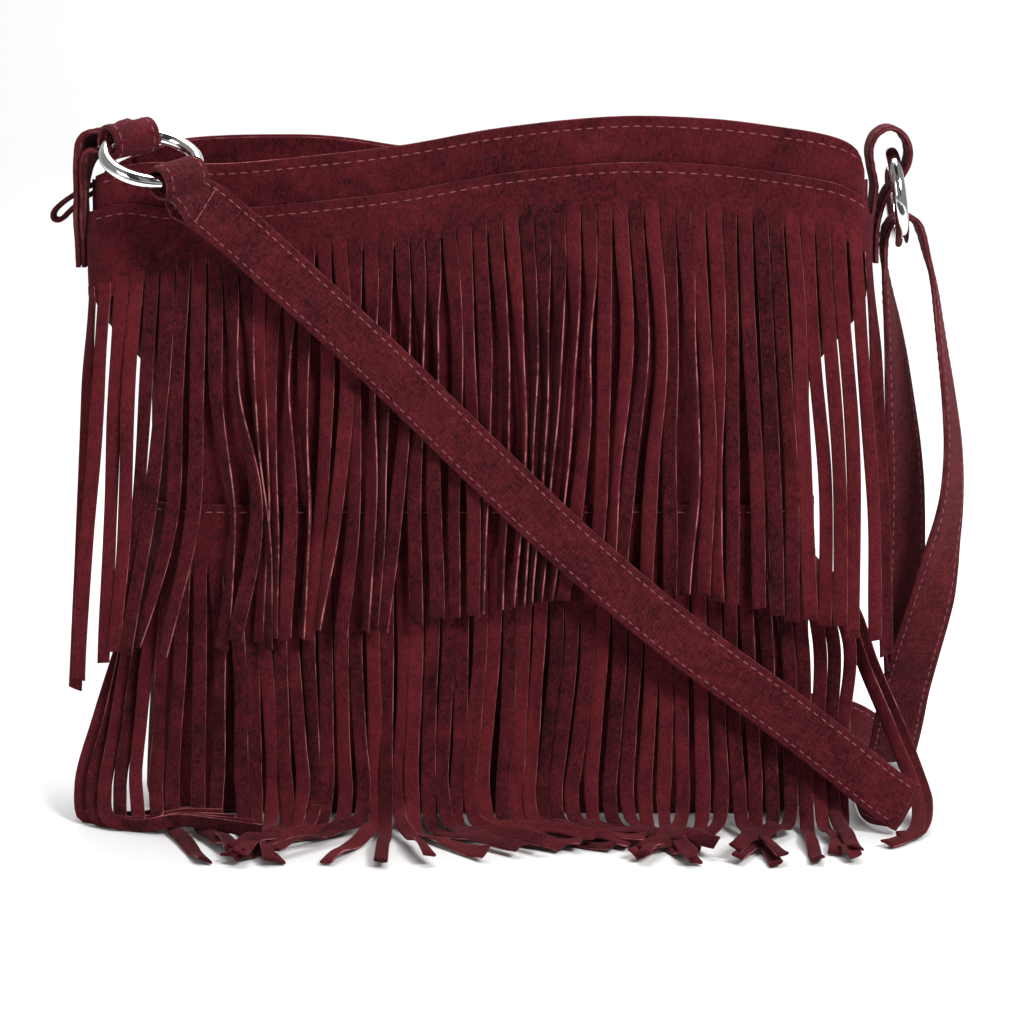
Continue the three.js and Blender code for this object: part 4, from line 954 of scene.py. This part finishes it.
def flat_band(at, across, width, columns, step=1.6, crown=0.0):
    """Grid across a line of frames. The width runs along across, the normal is width x direction, and
    crown lifts the middle of the face."""
    t = np.linspace(0, 1, len(at) * 6)
    at, across, _ = spaced(catmull(at, t), catmull(across, t), step=step)
    direction = unit(np.gradient(at, axis=0))
    across = unit(across - direction * np.sum(across * direction, axis=1, keepdims=True))
    normal = np.cross(across, direction)
    u = np.linspace(-0.5, 0.5, columns)
    rise = (crown * (1 - (2 * u) ** 4))[None, :, None]
    points = at[:, None] + across[:, None] * (u * width)[None, :, None] + normal[:, None] * rise
    return points, np.repeat(normal[:, None], columns, axis=1)


def strap_lines():
    """The strap as two lines of frames: the hidden run up to the fold, and the run from the fold to the
    left ring with its sewn-back end."""
    wire = lerp(ring_point(LEFT_RING, STRAP_ANGLE), np.array(LEFT_RING["at"]), RING_BOW / RING)
    axis = ring_tangent(LEFT_RING, STRAP_ANGLE)
    legs = np.array(STRAP_LEAVES)
    legs = unit(legs - axis * np.dot(legs, axis))
    loop = loop_round(wire, axis, legs, **STRAP_LOOP)
    across = unit(np.array(FOLD_ACROSS))
    side = unit(np.array([across[2], 0, -across[0]]))
    angle = np.radians([180, 135, 90, 45, 0])[:, None]
    fold = np.array(FOLD_AT) + FOLD_RADIUS * (np.array([0, -1, 0]) * np.cos(angle) + side * np.sin(angle))
    fold = np.hstack([fold, np.repeat(across[None], 5, axis=0)])
    front = np.hstack(stations([fold[4], *FRONT_RUN, [*(wire + legs * STRAP_LEG), *axis]], 30))[1:]
    ends = front[-SEWN_BACK:]
    sewn = np.hstack(doubled(ends[:, :3], ends[:, 3:], STRAP / 2 + 0.25, loop))
    hidden = np.hstack(stations([*RETURN_AND_ARCH, *BEHIND, fold[0]], 84))[:-1]
    back = np.vstack([hidden, fold[:4]])
    near = np.vstack([fold[3:], front[:-SEWN_BACK], sewn])
    return (back[:, :3], back[:, 3:]), (near[:, :3], near[:, 3:])


def strap_piece(name, line, finishes, cross_row):
    """Half of the strap: a doubled band, thinner along its margins, with stitches where they begin
    and one row across."""
    columns = 21
    width = STRAP_WIDTH - STRAP_MARGIN
    points, normals = flat_band(*line, width, columns)
    inner = (0.5 - np.abs(np.linspace(-0.5, 0.5, columns))) * width
    thickness = STRAP_MARGIN + (STRAP - STRAP_MARGIN) * smooth((inner - 1.2) / 1.6)
    form = Form()
    form.band(points, normals, np.broadcast_to(thickness, points.shape[:2]), groove=0.75)
    last = len(points) - 2
    for column in (2, columns - 3):
        for sign in (1, -1):
            run = points[2:last, column] + normals[2:last, column] * sign * thickness[column] / 2
            form.stitches(run, normals[2:last, column] * sign, **STRAP_STITCH)
    out = normals[cross_row, 2:columns - 2]
    form.stitches(points[cross_row, 2:columns - 2] + out * STRAP / 2, out, pitch=CROSS_PITCH)
    return form.build(name, finishes, body=None, replaces=("shoulder_strap",)), points


def colour_property(name, description, default):
    return FloatVectorProperty(name=name, description=description, subtype="COLOR", default=default,
                               min=0, max=1)


class SuedeBagLook(bpy.types.PropertyGroup):
    """Colours and small sizes that a user would change."""

    dark: colour_property("Suede dark", "Colour where the nap lies away", (0.008, 0.0008, 0.0014))
    light: colour_property("Suede light", "Colour where the nap stands up", (0.118, 0.0112, 0.0165))
    cut_edge: colour_property("Cut edge", "Colour of the raw cut edges", (0.44, 0.15, 0.155))
    scuff: colour_property("Scuffs", "Colour of brushed marks on the strap", (0.2, 0.036, 0.046))
    thread: colour_property("Thread", "Colour of the sewing thread", (0.14, 0.026, 0.034))
    lining: colour_property("Lining", "Colour of the lining cloth", (0.022, 0.006, 0.009))
    sheen_colour: colour_property("Sheen tint", "Tint of the nap's sheen", (0.7, 0.2, 0.24))
    sheen: FloatProperty(name="Sheen", description="Strength of the nap's sheen", default=0.16, min=0, max=1)
    strip_wave: FloatProperty(name="Strip wave", description="How far strips wander from a smooth line, in mm",
                              default=0.8, min=0, max=4)
    ring_steps: IntProperty(name="Ring steps", description="Steps round each ring", default=128,
                            min=24, max=256)


def look():
    """The settings in the sidebar."""
    return bpy.context.scene.suede_bag


def finishes():
    """Suede and thread, made once and shared."""
    names = ("bag_suede", "sewing_thread")
    if names[0] not in bpy.data.materials:
        suede_finish(names[0], look())
        thread_finish(look())
    return [bpy.data.materials[name] for name in names]


def sewn_finishes():
    """Suede with turned and sewn edges, for the strap and the tabs, and thread."""
    name = "sewn_suede"
    if name not in bpy.data.materials:
        suede_finish(name, look(), 0.9, woven=0.3, raw=0.3)
    return [bpy.data.materials[name], finishes()[1]]


def dress(material, *nodes):
    """Gives solids that are shown as they are their material."""
    for node in nodes:
        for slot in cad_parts[node].material_slots:
            slot.material = material


class BAG_OT_stage(bpy.types.Operator):
    """Pale floor that sweeps up behind, soft lights, dark cards for the metal to mirror, and the camera"""

    bl_idname = "suede_bag.stage"
    bl_label = "Stage and camera"

    def execute(self, context):
        self.floor(context)
        self.cards(context)
        self.lights(context)
        camera = bpy.data.cameras.new("photo_camera")
        camera.sensor_width = 36
        camera.lens = CAMERA_LENS
        eye = bpy.data.objects.new("photo_camera", camera)
        eye.location = CAMERA_AT
        eye.rotation_euler = (np.radians(CAMERA_TILT), 0, 0)
        context.collection.objects.link(eye)
        context.scene.camera = eye
        return {"FINISHED"}

    def sheet(self, context, name, points, faces, finish):
        """A flat or curved sheet that belongs to the studio and not to the bag."""
        mesh = bpy.data.meshes.new(name)
        mesh.from_pydata(points, [], faces)
        mesh.polygons.foreach_set("use_smooth", np.ones(len(faces), bool))
        mesh.materials.append(finish.material)
        sheet = bpy.data.objects.new(name, mesh)
        context.collection.objects.link(sheet)
        return sheet

    def floor(self, context):
        """Pale floor with a smooth rise at the back."""
        points = [(x, y, z) for y, z in zip(FLOOR_Y, FLOOR_Z) for x in (-FLOOR_HALF, FLOOR_HALF)]
        faces = [(2 * k, 2 * k + 1, 2 * k + 3, 2 * k + 2) for k in range(len(FLOOR_Y) - 1)]
        finish = Finish("pale_floor", {
            "Roughness": 0.34, "Base Color": (0.8, 0.8, 0.8, 1), "Specular IOR Level": 0.4})
        self.sheet(context, "studio_floor", points, faces, finish)

    def cards(self, context):
        """Dark cards round the camera, seen only in the metal and kept out of every view."""
        finish = Finish("dark_card", {"Base Color": (0.012, 0.012, 0.012, 1), "Roughness": 0.9})
        for name, left, right, near, far, low, high in CARDS:
            points = [(left, near, low), (right, near, low), (right, far, high), (left, far, high)]
            card = self.sheet(context, name, points, [(0, 1, 2, 3)], finish)
            card.visible_camera = False
            card.visible_diffuse = False
            card.visible_shadow = False

    def lights(self, context):
        """Large soft lights aimed at the middle of the bag."""
        world = bpy.data.worlds.new("studio")
        context.scene.world = world
        world.use_nodes = True
        background = world.node_tree.nodes["Background"]
        background.inputs["Color"].default_value = (1, 1, 1, 1)
        background.inputs["Strength"].default_value = WORLD_LIGHT
        context.scene.view_settings.view_transform = "Standard"
        for name, place, size, power in LIGHTS:
            lamp = bpy.data.lights.new(name, "AREA")
            lamp.size = size
            lamp.energy = power
            light = bpy.data.objects.new(name, lamp)
            light.location = place
            light.rotation_euler = (Vector(LIT_AT) - Vector(place)).to_track_quat("-Z", "Y").to_euler()
            context.collection.objects.link(light)


class BAG_OT_shell(bpy.types.Operator):
    """Front and back panels, the gusset strip and the lining"""

    bl_idname = "suede_bag.shell"
    bl_label = "Panels and gusset"

    def execute(self, context):
        self.panel("bag_front", "front_panel", FRONT_RIM, False)
        self.panel("bag_back", "back_panel", BACK_RIM, True)
        self.gusset()
        dress(cloth_finish("lining_cloth", list(look().lining), 300.0), "lining")
        return {"FINISHED"}

    def panel(self, name, node, rim, mirrored):
        """Sheet over the skin between the seams, from the base to the rim, with a row of stitches."""
        columns, rows = 150, 110
        way = -1 if mirrored else 1
        share = np.linspace(-1, 1, columns)[:, None]
        rise = np.linspace(0, 1, rows)[None]
        v = lerp(PANEL_FOOT, through(rim, way * share * SHOULDER) - SUEDE / 2, rise)
        _, _, r, flat, _ = plan(v)
        points, out = shell(share * (flat + r * SEAM - SEAM_GAP), v, SUEDE / 2, mirrored)
        form = Form()
        form.band(points, grid_normals(points, out), SUEDE)
        _, _, r, flat, _ = plan(270.0)
        line = np.linspace(-0.97, 0.97, 300) * (flat + r * SEAM)
        height = through(rim, way * line) - RIM_STITCHES
        for depth, sign in ((0.0, 1), (SUEDE, -1)):
            at, out = shell(line, height, depth, mirrored)
            form.stitches(at, out * sign)
        form.build(name, finishes(), replaces=(node,))

    def gusset(self):
        """Strip down the left side, under the base and up the right side."""
        rise = np.concatenate([GUSSET_FOOT, np.linspace(30, GUSSET_TOP - SUEDE / 2, 50)])
        bend = np.linspace(SEAM, np.pi / 2, 6)

        def side_rows(side, v):
            _, _, r, flat, half = plan(v)
            near = [flat + r * a + (0.7 if k == 0 else 0) for k, a in enumerate(bend)]
            run = near + [half - 4, half] + [half + 4] + [2 * half - s for s in near[::-1]]
            lift = GUSSET_FRONT * smooth((v - GUSSET_FRONT_FROM) / 28)
            return [skin(side * s, v + lift * smooth((half - s) / 5), SUEDE / 2)[0] for s in run]

        def base_row(s):
            edge = skin(s, 1.2, SUEDE / 2)[0]
            flat_point = skin(s, 0.0, SUEDE / 2)[0]
            inner = [flat_point * (1, q, 1) for q in np.linspace(1, -1, 13)]
            return [edge, *inner, edge * (1, -1, 1)]

        _, _, r, flat, _ = plan(0.0)
        lines = np.concatenate([[-(flat + r * SEAM), -(flat + r * SEAM / 2)], np.linspace(-flat, flat, 40),
                                [flat + r * SEAM / 2, flat + r * SEAM]])
        grid = np.array([*[side_rows(-1, v) for v in rise[::-1]], *[base_row(s) for s in lines],
                         *[side_rows(1, v) for v in rise]])
        form = Form()
        form.band(grid, grid_normals(grid, grid - np.array([0, 0, 60])), SUEDE)
        form.build("bag_gusset", finishes(), replaces=("gusset",))


class BAG_OT_mouth(bpy.types.Operator):
    """Turned-in suede inside the rim, down to the zip"""

    bl_idname = "suede_bag.mouth"
    bl_label = "Zip facings"

    def execute(self, context):
        for name, node, rim, side in (("facing_front", "zip_facing_front", FRONT_RIM, -1),
                                      ("facing_back", "zip_facing_back", BACK_RIM, 1)):
            x = np.linspace(-FACING_HALF, FACING_HALF, 160)
            top = through(rim, x)
            under = SUEDE + 0.4 + FACING_LIFT
            low = ZIP_Z + 1.3 + FACING_LIFT
            wall = plan(ZIP_Z)[1] - under
            profile = [(plan(top - 2)[1] - under, top - 1.6), (plan(top - 8)[1] - under, top - 8),
                       (wall, ZIP_Z + 4.4), (wall - 1.4, low), (FACING_EDGE, low)]
            rows = np.array([np.stack(np.broadcast_arrays(x, side * y, z), axis=-1) for y, z in profile])
            index = np.linspace(0, len(rows) - 1, 22)
            k = np.minimum(index.astype(int), len(rows) - 2)
            grid = np.swapaxes(lerp(rows[k], rows[k + 1], (index - k)[:, None, None]), 0, 1)
            grid[:, 3:12, 2] += 0.3 * np.sin(x[:, None] / 9.0 + np.arange(9) * 0.6)
            form = Form()
            form.band(grid, grid_normals(grid, np.array([0, -side, 1])), FACING)
            edge = grid[:, -3] + np.array([0, 0, FACING / 2])
            form.stitches(edge, np.repeat([[0, 0, 1]], len(x), axis=0))
            form.build(name, finishes(), replaces=(node,))
        return {"FINISHED"}


class BAG_OT_zip(bpy.types.Operator):
    """Woven tapes, two rows of metal teeth, slider, pull and stops"""

    bl_idname = "suede_bag.zip"
    bl_label = "Zip"

    def execute(self, context):
        tape = cloth_finish("zip_tape", [0.11, 0.02, 0.03], 420.0)
        nickel = polished_finish("zip_metal", (0.74, 0.73, 0.7), 0.2)
        x = np.linspace(ZIP_LEFT, ZIP_RIGHT, 200)
        for side, label in ((-1, "front"), (1, "back")):
            y = np.linspace(TAPE_BACK - 0.3, 3.2, 10)
            points = np.stack(np.broadcast_arrays(x[:, None], side * y[None], ZIP_Z), axis=-1)
            form = Form()
            form.band(points, np.broadcast_to([0.0, 0, 1], points.shape), TAPE)
            form.build("zip_tape_" + label + "_woven", [tape], slot="zip_tape", replaces=("zip_tape_" + label,))
        form = Form()
        for side in (-1, 1):
            start = ZIP_RIGHT - 5 - (TOOTH_PITCH / 2 if side > 0 else 0)
            at = np.arange(start, ZIP_LEFT + 8, -TOOTH_PITCH)
            u = np.linspace(-0.5, 0.5, 4)
            along = np.linspace(TOOTH["root"], TOOTH["tip"], 6)
            bulge = 0.75 + 0.3 * np.exp(-((along - TOOTH["head"]) / 0.5) ** 2)
            across = at[:, None, None] + u * TOOTH["width"] * bulge[:, None]
            points = np.stack(np.broadcast_arrays(across, side * along[:, None], ZIP_Z), axis=-1)
            form.band(points, np.broadcast_to([0.0, 0, 1], points.shape), TOOTH["height"])
        form.build("zip_teeth", [nickel], slot="bright_metal")
        dress(nickel, "zip_slider", "zip_puller", "zip_stop_left", "zip_stop_right")
        return {"FINISHED"}


class BAG_OT_upper_fringe(bpy.types.Operator):
    """Upper tier of fringe, hung from just under the rim"""

    bl_idname = "suede_bag.upper_fringe"
    bl_label = "Upper fringe"

    def execute(self, context):
        fringe_piece("fringe_upper", "upper_fringe", band_top, cut_height, strip_frames_upper(46),
                     look(), finishes(), stitch_drop=UPPER_STITCHES, seed=11)
        return {"FINISHED"}


class BAG_OT_lower_fringe(bpy.types.Operator):
    """Lower tier of fringe, which reaches the floor and lies along it"""

    bl_idname = "suede_bag.lower_fringe"
    bl_label = "Lower fringe"

    def execute(self, context):
        fringe_piece("fringe_lower", "lower_fringe", lambda s: np.full_like(s, LOWER_TOP + LOWER_RISE),
                     lambda s: np.full_like(s, LOWER_CUT), strip_frames_lower(60), look(), finishes(),
                     stitch_drop=LOWER_STITCHES, seed=23, floor=LOOSE_ABOVE)
        return {"FINISHED"}


class BAG_OT_rings(bpy.types.Operator):
    """Two polished rings, each turning with its own body"""

    bl_idname = "suede_bag.rings"
    bl_label = "Rings"

    def execute(self, context):
        chrome = polished_finish("polished_chrome", (0.86, 0.86, 0.85), 0.045)
        for name, node, ring, body in (("ring_left_wire", "left_ring", LEFT_RING, "ring_left"),
                                       ("ring_right_wire", "right_ring", RIGHT_RING, "ring_right")):
            ring_form(ring, look()).build(name, [chrome], body=body, slot="bright_metal", replaces=(node,))
        return {"FINISHED"}


class BAG_OT_ring_tabs(bpy.types.Operator):
    """Suede tabs sewn to the gusset that hold the rings, and the tab at the zip's tail"""

    bl_idname = "suede_bag.ring_tabs"
    bl_label = "Tabs"

    def execute(self, context):
        wire = ring_point(LEFT_RING, TAB_ANGLE)
        axis = -ring_tangent(LEFT_RING, TAB_ANGLE)
        centre = wire + unit(np.array(LEFT_RING["at"]) - wire) * RING_BOW
        legs = unit(np.cross([0, 0, 1], axis))
        steps = 14
        spine = stations([*LEFT_TAB, (*(centre + legs * TAB_LEG), *axis)], steps)
        apart = TAB_APART + TAB_OPENS * smooth((np.linspace(0, 1, steps + 1) - 0.66) / 0.3)
        line = softened(*doubled(*spine, apart, loop_round(centre, axis, legs, **TAB_LOOP)), TAB_SOFT)
        self.tab("tab_left", "left_ring_tab", line, "ring_left", (-0.1735, -0.0125, 0.283), wire * MM)
        line = stations([(x, 0, z, 0, 1, 0) for x, z in RIGHT_TAB], 40)
        self.tab("tab_right", "right_ring_tab", line, "ring_right", (0.174, 0, 0.272), (0.181, 0, 0.2895))
        self.zip_tail()
        return {"FINISHED"}

    def tab(self, name, node, line, ring, start, end):
        """Doubled band with stitches along both edges of both faces."""
        points, normals = flat_band(*line, STRAP_WIDTH - TAB, 11, step=1.2, crown=0.2)
        form = Form()
        form.band(points, normals, TAB, groove=0.75)
        for column in (1, 9):
            for sign in (1, -1):
                out = normals[1:-1, column] * sign
                form.stitches(points[1:-1, column] + out * TAB / 2, out)
        piece = form.build(name, sewn_finishes(), body=None, replaces=(node,))
        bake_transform(piece)

    def zip_tail(self):
        """Folded suede over the zip's tail, drooping outside the left end of the mouth."""
        line = stations([(x, ZIP_TAIL_Y, z, 0, 1, 0) for x, z in ZIP_TAIL], 30)
        points, normals = flat_band(*line, ZIP_TAIL_WIDTH, 7, step=0.7)
        form = Form()
        form.band(points, normals, ZIP_TAIL_THICK)
        form.build("zip_tail_tab", sewn_finishes(), replaces=("zip_end_tab",))


class BAG_OT_strap(bpy.types.Operator):
    """Long strap in two halves that meet at the fold by the right corner"""

    bl_idname = "suede_bag.strap"
    bl_label = "Shoulder strap"

    def execute(self, context):
        halves = (("strap_back", BACK_CROSS, "ring_right", (0.19, 0.0, 0.215), (0.187, 0.0, 0.256)),
                  ("strap_front", NEAR_CROSS, "ring_left", (-0.098, -0.043, 0.253), (-0.127, -0.047, 0.28)))
        for line, (name, cross_row, ring, start, end) in zip(strap_lines(), halves):
            piece, points = strap_piece(name, line, sewn_finishes(), cross_row)
            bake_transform(piece)
        return {"FINISHED"}


class BAG_PT_panel(bpy.types.Panel):
    """Lists the pieces and the look in the sidebar"""

    bl_label = "Suede Bag"
    bl_space_type = "VIEW_3D"
    bl_region_type = "UI"
    bl_category = "Suede Bag"

    def draw(self, context):
        for operator in OPERATORS:
            self.layout.operator(operator.bl_idname)
        settings = context.scene.suede_bag
        for key in SuedeBagLook.__annotations__:
            self.layout.prop(settings, key)


OPERATORS = (BAG_OT_stage, BAG_OT_shell, BAG_OT_mouth, BAG_OT_zip, BAG_OT_upper_fringe, BAG_OT_lower_fringe,
             BAG_OT_rings, BAG_OT_ring_tabs, BAG_OT_strap)
CLASSES = (SuedeBagLook, *OPERATORS, BAG_PT_panel)


def register():
    for cls in CLASSES:
        bpy.utils.register_class(cls)
    bpy.types.Scene.suede_bag = PointerProperty(type=SuedeBagLook)


def unregister():
    del bpy.types.Scene.suede_bag
    for cls in reversed(CLASSES):
        bpy.utils.unregister_class(cls)


def main():
    register()
    bpy.ops.suede_bag.stage()
    bpy.ops.suede_bag.shell()
    bpy.ops.suede_bag.mouth()
    bpy.ops.suede_bag.zip()
    bpy.ops.suede_bag.upper_fringe()
    bpy.ops.suede_bag.lower_fringe()
    bpy.ops.suede_bag.rings()
    bpy.ops.suede_bag.ring_tabs()
    bpy.ops.suede_bag.strap()


if __name__ == "__main__":
    main()
